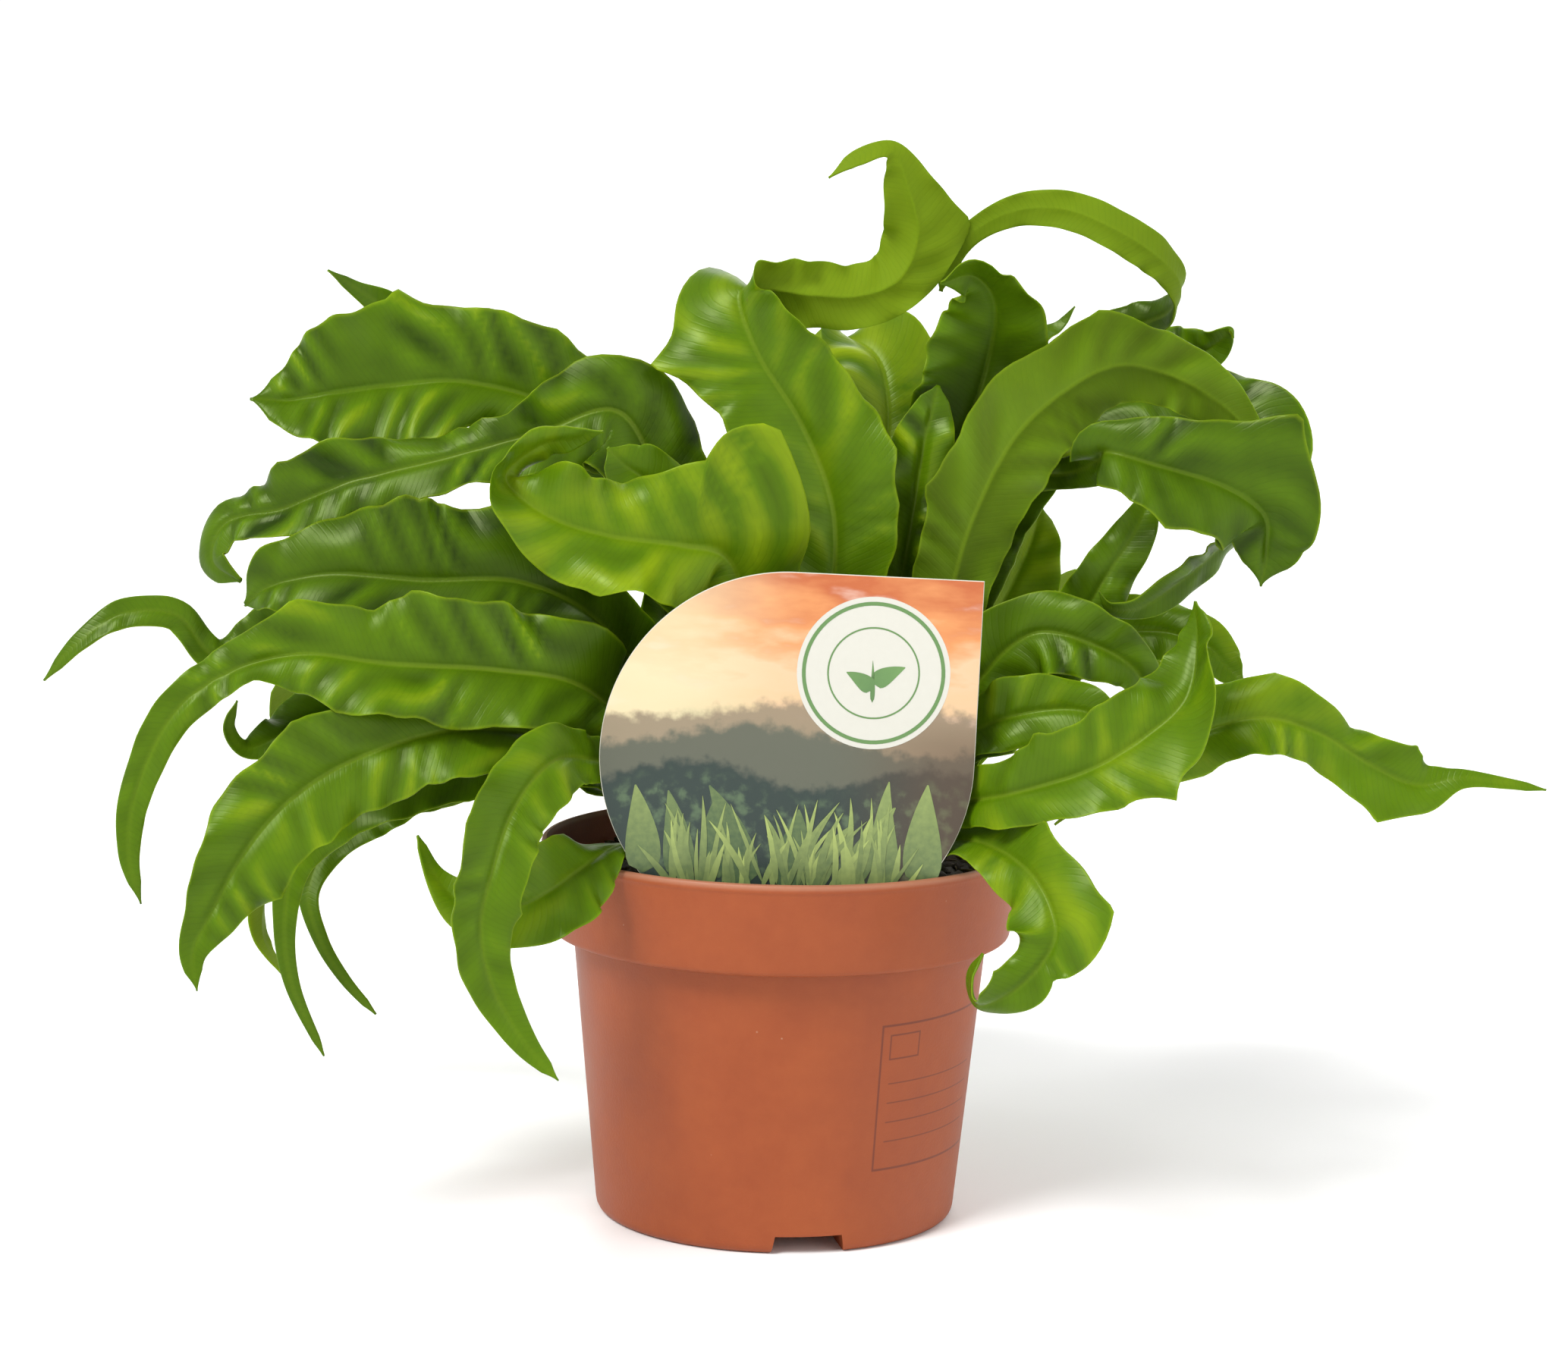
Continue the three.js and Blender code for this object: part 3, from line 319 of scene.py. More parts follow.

# %% [markdown]
# ## The fronds' routes
# Every frond is one curved strap. Its route is a short list of places: across, up
# and depth in millimetres, then the blade's half width and its turn about the midrib. Across and
# up are read against the pot's middle plane, from an eye nearly a metre in front, and
# `on_sight_line` moves the point out to its true depth. They are the same routes the solids have.
#
# Each row of the table starts with the frond's traits. `tone` runs from dark to pale, and
# `pleats` says how strong its pleats are. `root` is its place on the crown, as an angle and a
# radius. `heading`, the direction it grows in, and `fold`, how far its halves fold upward, are in
# degrees. `waves`, `ruffle` and `phase` are the number, height and start of the long waves. The
# route follows, and last the corners of the margin, `peaks`: how far along the blade each one is,
# on which side, how many millimetres it stands out and what share of the blade it takes.

# %% The routes
EYE_DISTANCE, EYE_HEIGHT = 983.0, 276.0
CROWN_RADIUS, CROWN_TOP_Z, CROWN_DROP = 28.0, 98.0, 9.0
STEM_RADIUS, SOCKET_DEPTH = 2.0, 6.0
TRAITS = ("tone", "pleats", "root", "heading", "fold", "waves", "ruffle", "phase", "route", "peaks")
FROND_TABLE = {
    "left_top": (0.42, 0.85, (168, 12), 180, 16, 5.5, 2.6, 0.4, [
        (-22, 125, 6, 5, -10), (-36, 165, 14, 10, -40), (-54, 197, 19, 15, -60), (-78, 206, 17, 18, -66),
        (-98, 205, 15, 20, -68), (-112, 203, 12, 17, -70), (-123, 201, 11, 10, -68),
        (-133, 201, 10, 1.2, -60)],
        [(0.64, -1, 3, 0.02), (0.8, -1, 4, 0.03), (0.68, 1, -9, 0.06), (0.88, 1, 4, 0.03)]),
    "left_wave": (0.26, 0.85, (204, 10), 180, 10, 4.5, 4.4, 2.2, [
        (-17, 130, 0, 6, -20), (-28, 168, -3, 12, -50), (-41, 199, -4, 16.5, -75),
        (-62, 194, -6, 11.5, -62), (-86, 187, -6, 10.5, -60), (-108, 181, -6, 10, -60),
        (-125, 174, -4, 9, -64), (-138.5, 170.5, -1, 6.5, -60), (-142, 161, -3, 5, -50),
        (-135, 156, -6, 2.4, -40)],
        [(0.6, -1, -5, 0.09), (0.62, 1, 2.5, 0.02), (0.76, 1, 2, 0.02), (0.84, -1, 3, 0.02)]),
    "left_dark": (0.22, 0.65, (196, 17), 184, 16, 5, 2.5, 1.2, [
        (-28, 121, -5, 6, -20), (-46, 147, -10, 11, -50), (-66, 157, -18, 16, -60),
        (-90, 157, -20, 18, -66), (-112, 158, -19, 15, -62), (-127, 155, -17, 8, -50),
        (-134, 150, -14, 3, -40)],
        [(0.6, -1, 2.5, 0.03), (0.74, -1, 3, 0.03), (0.84, 1, 2.5, 0.02)]),
    "left_behind": (0.35, 0.6, (178, 18), 180, 10, 4.5, 2.5, 0, [
        (-30, 118, 2, 6, -20), (-56, 138, 2, 11, -55), (-90, 143, 0, 13, -70), (-122, 141, -4, 11, -70),
        (-141, 137, -8, 5, -60), (-151, 147, -8, 4, -60), (-164, 147, -10, 3.8, -60),
        (-175, 140, -12, 2.6, -60), (-184, 130, -12, 0.8, -60)], []),
    "left_long": (0.4, 0.8, (205, 24), 190, 16, 6, 3.2, 0.8, [
        (-33, 114, -15, 6, -20), (-50, 131, -30, 13, -60), (-72, 135, -38, 16, -68),
        (-98, 136, -42, 14, -70), (-120, 138, -44, 10, -70), (-138, 133, -44, 6.5, -70),
        (-152, 122, -46, 5, -75), (-161, 103, -48, 4, -80), (-163, 87, -50, 2.6, -80),
        (-160, 74, -50, 0.8, -80)],
        [(0.5, -1, 3, 0.03), (0.62, -1, 3, 0.02), (0.57, 1, 3, 0.03), (0.67, 1, -3, 0.03)]),
    "left_drape": (0.42, 0.6, (219, 24), 200, 8, 4, 2.5, 1.9, [
        (-33, 103, -24, 5.5, -10), (-56, 117, -32, 10.5, -50), (-80, 120, -42, 13, -62),
        (-104, 113, -48, 13, -70), (-122, 102, -55, 13, -80), (-134, 88, -61, 11, -84),
        (-142, 73, -65, 7, -80), (-147, 62, -68, 3.4, -80), (-146, 52, -70, 0.8, -80)],
        [(0.45, -1, 3, 0.03), (0.83, 1, 3.5, 0.03), (0.66, -1, 2, 0.02)]),
    "left_low": (0.4, 0.35, (190, 24), 185, 8, 4, 2, 0.5, [
        (-34, 103, -7, 5, -10), (-62, 113, -14, 9, -40), (-90, 108, -22, 10, -60),
        (-110, 99, -28, 8, -70), (-121, 86, -32, 4.6, -80), (-124, 70, -34, 2.9, -84),
        (-122, 54, -35, 1.9, -80), (-114, 36, -36, 0.8, -80)], []),
    "left_thread": (0.35, 0.35, (176, 24.5), 178, 10, 3, 2, 2.5, [
        (-34, 101, 3, 5, -10), (-58, 112, 4, 9, -40), (-86, 110, 1, 10, -70), (-102, 101, -4, 9, -80),
        (-113, 90, -10, 5.5, -80), (-118, 78, -16, 2.8, -80), (-115, 66, -20, 2, -80),
        (-109, 56, -22, 1.5, -80), (-101, 47, -24, 0.8, -80)], []),
    "left_hook": (0.3, 0.35, (162, 24), 176, 14, 4, 3, 1.0, [
        (-36, 104, 17, 6, -10), (-62, 121, 22, 10, -40), (-90, 127, 20, 11, -60),
        (-112, 124, 12, 9, -60), (-126, 117, 1, 6, -60), (-134, 114, -4, 2.4, -60),
        (-138, 119, -6, 1.6, -60), (-136, 126, -7, 0.8, -60)], []),
    "left_back": (0.35, 0.35, (150, 16), 165, 12, 5, 3, 2, [
        (-20, 132, 20, 6, -10), (-36, 170, 38, 12, -40), (-60, 199, 46, 13, -50), (-85, 212, 48, 9, -50),
        (-100, 224, 46, 4.5, -50), (-107, 228.5, 44, 2.2, -50), (-114, 233, 42, 0.8, -40)], []),
    "front_left": (0.5, 0.35, (238, 24.5), 205, 8, 3, 1.2, 0, [
        (-28, 106, -28, 4, -20), (-48, 113, -41, 6, -60), (-58, 112, -57, 9, -68),
        (-67, 100, -70, 9, -75), (-72, 85, -78, 8, -82), (-75, 70, -80, 7, -86),
        (-72, 55, -80, 5.4, -84), (-64, 41, -80, 3.2, -80), (-55, 31, -80, 0.8, -80)],
        [(0.62, -1, 2.5, 0.03), (0.72, 1, 2, 0.03)]),
    "front_low": (0.6, 0.35, (262, 24.5), 205, 10, 3, 1.5, 1.6, [
        (-16, 91.5, -31, 3.2, 0), (-28, 90.5, -31, 3.4, 0), (-40.5, 91, -38.5, 3.6, 0),
        (-50, 85.5, -52.5, 9.5, -60), (-58, 79.5, -62, 11.5, -72), (-67, 75, -66, 9.5, -75),
        (-78, 75, -65, 6.5, -75), (-86, 82, -63, 3, -70), (-91, 93, -61, 0.8, -70)], []),
    "centre_light": (0.68, 0.45, (262, 13), 180, 14, 4.5, 5, 3.2, [
        (0, 118, -18, 7, -70), (-8, 142, -22, 11, -80), (-14, 163, -26, 14, -80),
        (-26, 167, -30, 16, -72), (-44, 169, -33, 14, -68), (-60, 174, -34, 12, -66),
        (-70, 183, -31, 7, -50), (-62, 191, -27, 4.5, -60), (-54, 193, -25, 3, -60),
        (-46, 195, -24, 0.8, -60)],
        [(0.5, -1, 18, 0.04), (0.5, 1, 3, 0.03), (0.66, 1, 3, 0.03)]),
    "centre_flap": (0.6, 0.35, (236, 16), 180, 10, 3, 1.5, 1.1, [
        (-14, 130, -12, 5, -20), (-24, 160, -15, 8, -60), (-33, 180, -16, 9, -70),
        (-41, 187, -16, 6, -70), (-45, 191, -16, 1.5, -70)], []),
    "centre_tall": (0.6, 0.5, (290, 7), 0, 14, 5, 2.4, 0.3, [
        (9, 122, -8, 7, 88), (11, 150, -10, 12, 92), (11, 176, -10, 15, 95), (3, 197, -8, 17, 95),
        (-8, 214, -5, 14, 92), (-13, 228, -1, 10.5, 55), (-8, 231, 1, 8.5, -45),
        (4, 229.5, 2, 8.5, -88), (16, 229.5, 4, 8, -88), (26, 234, 6, 8, -88), (30, 245, 6, 9, -88),
        (27, 257, 4, 6, -88), (23, 265, 2, 2.4, -70), (15, 263, 0, 2.2, -60), (8, 258, -2, 0.8, -60)],
        [(0.57, 1, 12, 0.03), (0.62, 1, 7, 0.015), (0.4, -1, 3, 0.03), (0.84, 1, 5, 0.02)]),
    "centre_gold": (0.8, 0.6, (80, 7), 60, 12, 4, 3, 2, [
        (10, 132, 14, 7, 30), (18, 165, 20, 12, 40), (24, 192, 26, 16, 40), (22, 212, 34, 16, 50),
        (13, 219, 42, 11, 50), (3, 217, 50, 3, 40)], []),
    "centre_gloss": (0.5, 1.0, (330, 8.5), 0, 16, 4, 2, 1.7, [
        (19, 124, -3, 5, 80), (26, 150, -4, 8, 88), (30, 172, -5, 10, 90), (33, 194, -4, 8, 92),
        (36, 208, -2, 2, 92)], []),
    "centre_cup": (0.35, 0.35, (14, 8), 0, 22, 3, 3, 0, [
        (21, 140, 6, 7, 60), (33, 172, 9, 12, 80), (43, 197, 9, 16, 88), (48, 214, 5, 16.5, 88),
        (49.5, 228, -5, 13.5, 72), (44, 235, -12, 8, 60), (36, 233, -15, 2, 60)], []),
    "arch": (0.35, 0.35, (34, 14), 0, 8, 4, 1.6, 1, [
        (26, 130, 18, 6, 20), (44, 172, 26, 10, 50), (62, 205, 30, 9, 60), (80, 221, 30, 7, 70),
        (92, 227, 24, 5, 40), (94, 234, 16, 4, -40), (88, 241, 10, 5, -80), (78, 247, 8, 5, -88),
        (66, 251.5, 10, 4.8, -90), (54, 251, 11, 4, -90), (44, 246, 13, 3, -90), (38, 239, 15, 3, -90),
        (36, 231, 16, 2.4, -90)], []),
    "right_broad": (0.2, 0.75, (325, 15), 0, 8, 4, 2.5, 2.6, [
        (27, 122, -13, 6, -40), (38.5, 150, -16, 9, -85), (45, 174, -17, 11, -93),
        (57, 198, -14, 12.5, -95), (77, 213, -9, 10, -90), (92, 212, -5, 8.5, -80),
        (104, 206, -6, 7, -80), (112, 199, -8, 4, -80), (117, 192, -9, 1, -80)],
        [(0.5, -1, 2.5, 0.02), (0.76, -1, 5, 0.03), (0.66, -1, 2, 0.02)]),
    "right_glossy": (0.18, 0.5, (350, 15), 0, 20, 3.5, 2, 0.6, [
        (34, 124, 0, 6, 20), (40, 150, -3, 5, 60), (47, 172, -4, 4.5, 85), (57, 185, -4, 4.5, 85),
        (69, 187, -6, 4, 75), (75.5, 190, -20, 6, 70), (78, 192.5, -33, 8.5, 72),
        (90, 189.5, -36, 12, 75), (106, 185, -36, 14, 78), (117, 178, -35, 12, 84),
        (118, 169, -35, 8, 88), (117, 160, -35, 1, 88)],
        [(0.8, -1, 3, 0.02), (0.885, 1, 11, 0.025), (0.92, -1, 3, 0.02)]),
    "right_hook": (0.35, 0.8, (45, 18), 20, 12, 4, 3.4, 1.1, [
        (28, 130, 28, 7, 10), (46, 172, 44, 11, 30), (66, 202, 50, 12, 60), (93, 214, 46, 10, 70),
        (103, 219, 40, 5, 70), (107, 223, 36, 1.6, 70), (108, 221, 35, 0.8, 70)], []),
    "right_curl": (0.25, 0.9, (12, 18), 8, 10, 4.5, 2.5, 0.2, [
        (36, 124, 8, 5, 20), (45, 152, 10, 6, 50), (54, 176, 13, 7, 65), (66, 196, 16, 10, 65),
        (86, 206, 17, 12, 60), (108, 203, 14, 11, 60), (119, 196, 6, 9, 50), (116, 181, -4, 7, 40),
        (106, 169, -13, 5.5, 50), (96, 160, -19, 5, 60), (87, 154, -22, 3, 60), (80, 154, -24, 1.8, 60),
        (77, 158, -24, 0.8, 60)], []),
    "right_wavy": (0.4, 0.6, (357, 22), 0, 10, 5, 3.6, 1.8, [
        (38, 110, -6, 6, 30), (57, 130, -11, 9, 60), (70, 147, -14, 9, 80), (79, 162, -15, 7, 85),
        (86, 174, -14, 5, 85), (89, 182, -12, 2, 85)], []),
    "right_mid": (0.35, 0.7, (333, 20), 355, 12, 4, 2, 0, [
        (36, 113, -12, 6, 30), (49, 136, -20, 9, 70), (61, 147, -24, 10, 78), (75, 145, -27, 9, 78),
        (87, 138, -28, 6, 70), (90, 126, -30, 2, 70)],
        [(0.58, 1, 3, 0.03), (0.7, -1, 3, 0.03)]),
    "right_boat": (0.55, 0.35, (305, 24.5), 335, 18, 3, 2, 2.4, [
        (26, 99, -27, 4.5, 20), (44, 104, -37, 6.5, 60), (58, 107, -51, 9, 76), (76, 113, -58, 11, 80),
        (90, 122, -60, 12, 82), (100, 132, -58, 12, 70), (102, 146, -52, 6, 60),
        (101, 156, -48, 1, 60)],
        [(0.71, -1, 7, 0.03), (0.55, 1, 2, 0.03), (0.84, 1, 2, 0.02)]),
    "right_far": (0.62, 0.35, (343, 25.5), 345, 10, 6, 3.6, 1.5, [
        (34, 101, -15, 5, 20), (62, 110, -26, 8, 50), (92, 119, -36, 10, 70), (116, 127, -40, 9, 78),
        (132, 124, -40, 8, 78), (146, 116, -40, 7.5, 78), (158, 111, -40, 5.5, 60),
        (169, 113, -40, 2.4, 60), (180, 112, -40, 1.4, 60), (190, 110.5, -40, 0.8, 60)],
        [(0.62, 1, 3, 0.03), (0.72, 1, -3, 0.03), (0.81, 1, 3, 0.02), (0.8, -1, 6, 0.03)]),
    "right_small": (0.62, 0.35, (322, 22.5), 345, 16, 3, 2.5, 0.7, [
        (32, 109, -20, 4.5, 30), (47, 122, -30, 7, 70), (60, 127, -36, 9, 75), (74, 128, -39, 7, 75),
        (84, 122, -41, 2, 75)], []),
    "right_pale": (0.6, 0.35, (16, 25), 5, 10, 4, 2.5, 2.8, [
        (40, 108, 14, 6, 20), (66, 140, 20, 10, 60), (86, 148, 20, 9, 70), (102, 146, 14, 7, 75),
        (110, 139, 10, 4, 75), (114, 136, 8, 0.8, 75)], []),
    "front_right": (0.55, 0.35, (288, 24.5), 335, 12, 4, 2.4, 0.9, [
        (17, 91, -31, 3.5, 0), (36, 93, -33, 5, 10), (50, 94, -44, 7, 40), (63, 86, -62, 9.5, 78),
        (69, 73, -71, 10, 88), (66, 64, -71, 7, 80), (58, 56, -71, 5.5, 60), (50, 53, -70, 4, 40),
        (48, 60, -69, 2.4, 40), (51, 66, -68, 1, 40)],
        [(0.55, 1, 4, 0.03), (0.69, 1, 7, 0.03), (0.77, 1, -3, 0.02), (0.84, -1, 2, 0.02)]),
    "back_tip": (0.4, 0.35, (72, 17), 40, 12, 4, 3, 0, [
        (14, 130, 34, 7, 10), (28, 172, 58, 12, 20), (45, 204, 72, 11, 30), (58, 219, 76, 5, 30),
        (65, 223, 78, 1.6, 30), (69, 228, 78, 0.8, 30)], []),
    "right_light": (0.85, 0.35, (35, 25), 25, 10, 3, 3, 2, [
        (34, 116, 34, 6, 20), (46, 140, 48, 10, 60), (55, 158, 54, 12, 75), (60, 170, 56, 8, 75),
        (62, 179, 58, 2, 75)], []),
    "back_left": (0.4, 0.6, (127, 25.5), 135, 12, 5, 3.2, 1.4, [
        (-26, 108, 36, 6, 0), (-48, 138, 62, 12, 10), (-72, 156, 92, 16, 30), (-96, 156, 118, 15, 5),
        (-114, 141, 138, 12, -30), (-122, 120, 148, 8, -10), (-118, 101, 150, 4, 20),
        (-108, 92, 146, 1, 30)], []),
    "back_left_high": (0.45, 0.7, (116, 16), 115, 14, 5, 3, 0.2, [
        (-8, 130, 30, 6, 0), (-22, 164, 54, 13, -10), (-42, 186, 84, 16, -30), (-52, 190, 112, 15, -10),
        (-58, 178, 134, 11, 25), (-61, 160, 146, 7, 40), (-62, 144, 148, 3, 30),
        (-58, 134, 144, 0.8, 20)], []),
    "back": (0.4, 0.8, (98, 25), 92, 12, 5, 3.4, 2.2, [
        (-4, 108, 44, 6, 0), (-7, 132, 74, 12, 10), (-4, 145, 104, 16, 30), (3, 141, 132, 15, 10),
        (8, 124, 152, 10, -20), (8, 104, 160, 6, -30), (2, 90, 158, 2, -20)], []),
    "back_right": (0.38, 0.7, (68, 25), 62, 12, 4.5, 3.2, 0.9, [
        (18, 110, 40, 6, 0), (36, 138, 66, 12, -10), (55, 152, 92, 16, -30), (74, 150, 118, 15, -5),
        (86, 136, 136, 10, 25), (90, 120, 142, 6, 30), (86, 108, 140, 1.5, 20)], []),
    "back_high": (0.42, 0.5, (94, 12.5), 80, 14, 5, 3, 1.9, [
        (3, 130, 25, 3.5, 0), (5, 158, 48, 7.5, 5), (7.5, 179, 72, 11, 15), (11, 185, 95, 11.5, 5),
        (16, 173, 112, 9, -25), (18, 156, 120, 4, -40), (15, 145, 118, 0.8, -40)], []),
    "back_low": (0.45, 0.35, (144, 25.5), 150, 10, 4, 3, 3, [
        (-32, 103, 26, 5, 0), (-60, 116, 48, 11, 20), (-88, 118, 70, 13, 10), (-111, 106, 88, 12, -20),
        (-126, 86, 98, 8, -30), (-130, 68, 98, 4, -10), (-124, 56, 94, 1, 0)], []),
    "back_low_right": (0.42, 0.35, (50, 25.5), 62, 10, 4, 3, 1.1, [
        (27, 103, 32, 5, 0), (46, 118, 60, 11, -15), (60, 125, 90, 13, -25), (69, 122, 114, 12, 0),
        (74, 113, 130, 8, 20), (73, 104, 134, 3, 30), (68, 99, 130, 0.8, 30)], [])
}
FRONDS = {"frond_" + name: dict(zip(TRAITS, row)) for name, row in FROND_TABLE.items()}
print(len(FRONDS), "fronds")

# %% [markdown]
# ## From a route to a ripple-edged blade
# A Catmull-Rom curve runs through all of a route's numbers at once, so place, width and turn
# change together. At each row the blade's own directions come from the curve's tangent and the
# frond's heading. Real fronds of this kind are not flat: a fold runs along the midrib, long waves
# lift the margins, and the tissue between the side veins puffs up into broad soft pleats, which
# is what catches the light. Each of these is one term of the height above the flat blade.

# %% Curve through the route
def on_sight_line(across, up_, depth):
    k = 1 + depth / EYE_DISTANCE
    return (across * k, depth, EYE_HEIGHT + (up_ - EYE_HEIGHT) * k)


def crown_height(radius):
    return CROWN_TOP_Z - CROWN_DROP * (radius / CROWN_RADIUS) ** 2


def through(knots, t):
    """Catmull-Rom through the rows of knots, at t counted in spans."""
    padded = np.vstack([2 * knots[0] - knots[1], knots, 2 * knots[-1] - knots[-2]])
    i = np.minimum(t.astype(int), len(knots) - 2)
    f = (t - i)[:, None]
    before, p, q, after = (padded[i + k] for k in range(4))
    leave, arrive = (q - before) / 2, (after - p) / 2
    cubic, square = 2 * (p - q) + leave + arrive, -3 * (p - q) - 2 * leave - arrive
    return (cubic * f + square) * f * f + leave * f + p


def unit(vectors):
    return vectors / np.linalg.norm(vectors, axis=1)[:, None]


def frond_frames(frond, rows_per_span):
    """Centre, half width, across direction, upward direction and length so far, for each row."""
    angle, radius = math.radians(frond["root"][0]), frond["root"][1]
    start = (radius * math.cos(angle), radius * math.sin(angle), crown_height(radius))
    knots = [(*start, STEM_RADIUS, frond["route"][0][4])]
    knots += [(*on_sight_line(*stop[:3]), *stop[3:]) for stop in frond["route"]]
    knots = np.array(knots, float)
    spans = len(knots) - 1
    t = np.linspace(0, spans, spans * rows_per_span + 1)
    rows = through(knots, t)
    step = 0.001
    tangent = unit(through(knots, np.minimum(t + step, spans))[:, :3]
                   - through(knots, np.maximum(t - step, 0))[:, :3])
    foot = rows[0].copy()
    foot[:3] -= tangent[0] * SOCKET_DEPTH
    rows, tangent = np.vstack([foot, rows]), np.vstack([tangent[0], tangent])
    heading = math.radians(frond["heading"])
    level = np.array([-math.sin(heading), math.cos(heading), 0.0])
    side = unit(level - (tangent @ level)[:, None] * tangent)
    above = np.cross(tangent, side)
    turn = np.radians(rows[:, 4])[:, None]
    wide = side * np.cos(turn) + above * np.sin(turn)
    out_ = above * np.cos(turn) - side * np.sin(turn)
    length = np.concatenate([[0], np.cumsum(np.linalg.norm(np.diff(rows[:, :3], axis=0), axis=1))])
    return rows[:, :3], np.maximum(rows[:, 3], 0.5), wide, out_, length


# %% Relief of one blade
ROWS_PER_SPAN = 12
# Positions across the blade, close together at the midrib and at the margins
HALF_SECTION = [0.05, 0.11, 0.19, 0.28, 0.38, 0.48, 0.58, 0.68, 0.78, 0.87, 0.94, 0.98, 1.0]
SECTION = np.array([-v for v in reversed(HALF_SECTION)] + [0.0] + HALF_SECTION)
BLADE_THICKNESS, MARGIN_THICKNESS = 0.7, 0.34
PLEAT_LENGTH, PLEAT_HEIGHT, PLEAT_SLANT = 11.0, 1.25, 0.75
RIPPLE_LENGTH, RIPPLE_HEIGHT = 21.0, 1.3
GROOVE_WIDTH, GROOVE_DEPTH = 0.9, 0.35
STALK_KEEL_WIDTH, RIB_KEEL_WIDTH, RIB_KEEL_DEPTH = 1.7, 0.8, 0.3
BELLY = 0.05
# Slow waves, as (height, wavelength in millimetres), in the margin's width, in the pleats' places
# and in their strength
RAGGED = (0.035, 21.0), (0.02, 9.0)
DRIFT = (2.4, 61.0), (1.3, 33.0), (0.7, 19.0)
PATCHY = (0.3, 57.0), (0.25, 27.0)
# A stem opens into a blade over these millimetres of half width, and the tip closes over this share
OPENING, TIP_SHARE = 6.0, 0.025


def wobble(length, start, *parts):
    """A slow wandering value: a sum of sines of (height, wavelength)."""
    return sum(h * np.sin(2 * np.pi * length / w + start * (k + 1.7)) for k, (h, w) in enumerate(parts))


def crimp(angle):
    """A wave between a sine and a zigzag, as a stiff margin makes."""
    return 0.55 * np.sin(angle) + 0.45 * np.arcsin(np.sin(angle)) * 2 / np.pi


def margin_peaks(frond, share, side):
    """How far corners of the margin stand out, in millimetres; side is -1 or 1."""
    reach = np.zeros_like(share)
    for place, which, height, width in frond["peaks"]:
        if which == side:
            reach += height * np.exp(-np.abs(share - place) / width)
    return reach


def frond_surfaces(frond, seed):
    centre, half, wide, out_, length = frond_frames(frond, ROWS_PER_SPAN)
    share = length / length[-1]
    leafy = np.clip((half - STEM_RADIUS) / OPENING, 0, 1)
    v = SECTION[None, :]
    side = np.where(v < 0, 1.0, 0.0)
    s, w, leaf = length[:, None], half[:, None], leafy[:, None]
    ragged = wobble(s + 31 * side, seed, *RAGGED)
    peaks = np.stack([margin_peaks(frond, share, -1), margin_peaks(frond, share, 1)], 1)
    w = np.maximum(w + np.where(v < 0, peaks[:, :1], peaks[:, 1:]), 0.4 * w)
    tip = np.clip((1 - share) / TIP_SHARE, 0.12, 1)[:, None] ** 0.7
    width = w * (1 + ragged * leaf) * tip
    fold = math.radians(frond["fold"])
    wave_start = frond["phase"] + 2.1 * side
    wave = frond["ruffle"] * leaf * v ** 2 * crimp(2 * np.pi * frond["waves"] * share[:, None] + wave_start)
    drift = wobble(s + 40 * side, seed, *DRIFT)
    patchy = 0.6 + wobble(s + 23 * side, 2 * seed, *PATCHY)
    along = s - PLEAT_SLANT * np.abs(v) * w
    relief = frond["pleats"] * patchy * np.minimum(np.abs(v) / 0.3, 1) \
        * crimp(2 * np.pi * along / PLEAT_LENGTH + drift)
    pleat = PLEAT_HEIGHT * leaf * (1 - 0.3 * np.abs(v)) * relief
    ripple = RIPPLE_HEIGHT * leaf * np.abs(v) ** 4 * crimp(2 * np.pi * s / RIPPLE_LENGTH + seed + 1.4 * drift)
    # The blade arches a little between midrib and margin
    belly = BELLY * w * leaf * np.sin(np.pi * np.abs(v))
    lift = np.abs(v) * w * np.sin(fold) * leaf + wave + pleat + ripple + belly
    offset = v * w
    groove = GROOVE_DEPTH * leaf * (np.exp(-(offset / GROOVE_WIDTH) ** 2)
                                    - 0.3 * np.exp(-((np.abs(offset) - 2 * GROOVE_WIDTH) / 0.9) ** 2))
    edge = np.minimum(1.0, (1 - np.abs(v)) / 0.12)
    thick = (MARGIN_THICKNESS + (BLADE_THICKNESS - MARGIN_THICKNESS) * edge) / 2
    stalk = (STEM_RADIUS - BLADE_THICKNESS / 2) * (1 - share[:, None]) ** 2
    round_ = np.sqrt(np.maximum(0, 1 - v ** 2))
    keel = stalk * np.exp(-(offset / STALK_KEEL_WIDTH) ** 2) * leaf + stalk * round_ * (1 - leaf) \
        + RIB_KEEL_DEPTH * leaf * np.exp(-(offset / RIB_KEEL_WIDTH) ** 2)
    flat = centre[:, None] + wide[:, None] * (v * width * np.cos(fold * leaf))[:, :, None]
    upper = flat + out_[:, None] * (lift + thick - groove + stalk * round_ * (1 - leaf))[:, :, None]
    lower = flat + out_[:, None] * (lift - thick - keel)[:, :, None]
    marks = dict(offset=offset, across=v, along=s, share=share[:, None], relief=relief * leaf)
    return upper, lower, {label: np.broadcast_to(m, lift.shape) for label, m in marks.items()}


def make_frond(name, frond, material, seed):
    upper, lower, marks = frond_surfaces(frond, seed)
    rows, columns = upper.shape[:2]
    points = np.concatenate([upper.reshape(-1, 3), lower.reshape(-1, 3)]) * MM
    blade = mesh_object(name.replace("frond", "blade"), points, sewn_faces(rows, columns), material)
    for label, values in marks.items():
        point_attribute(blade, "blade_" + label, [values, values])
    point_attribute(blade, "blade_upper", np.repeat([1.0, 0.0], rows * columns))
    point_attribute(blade, "blade_tone", np.full(2 * rows * columns, frond["tone"]))
    return dress(blade, name)


print("blade section has", len(SECTION), "columns")

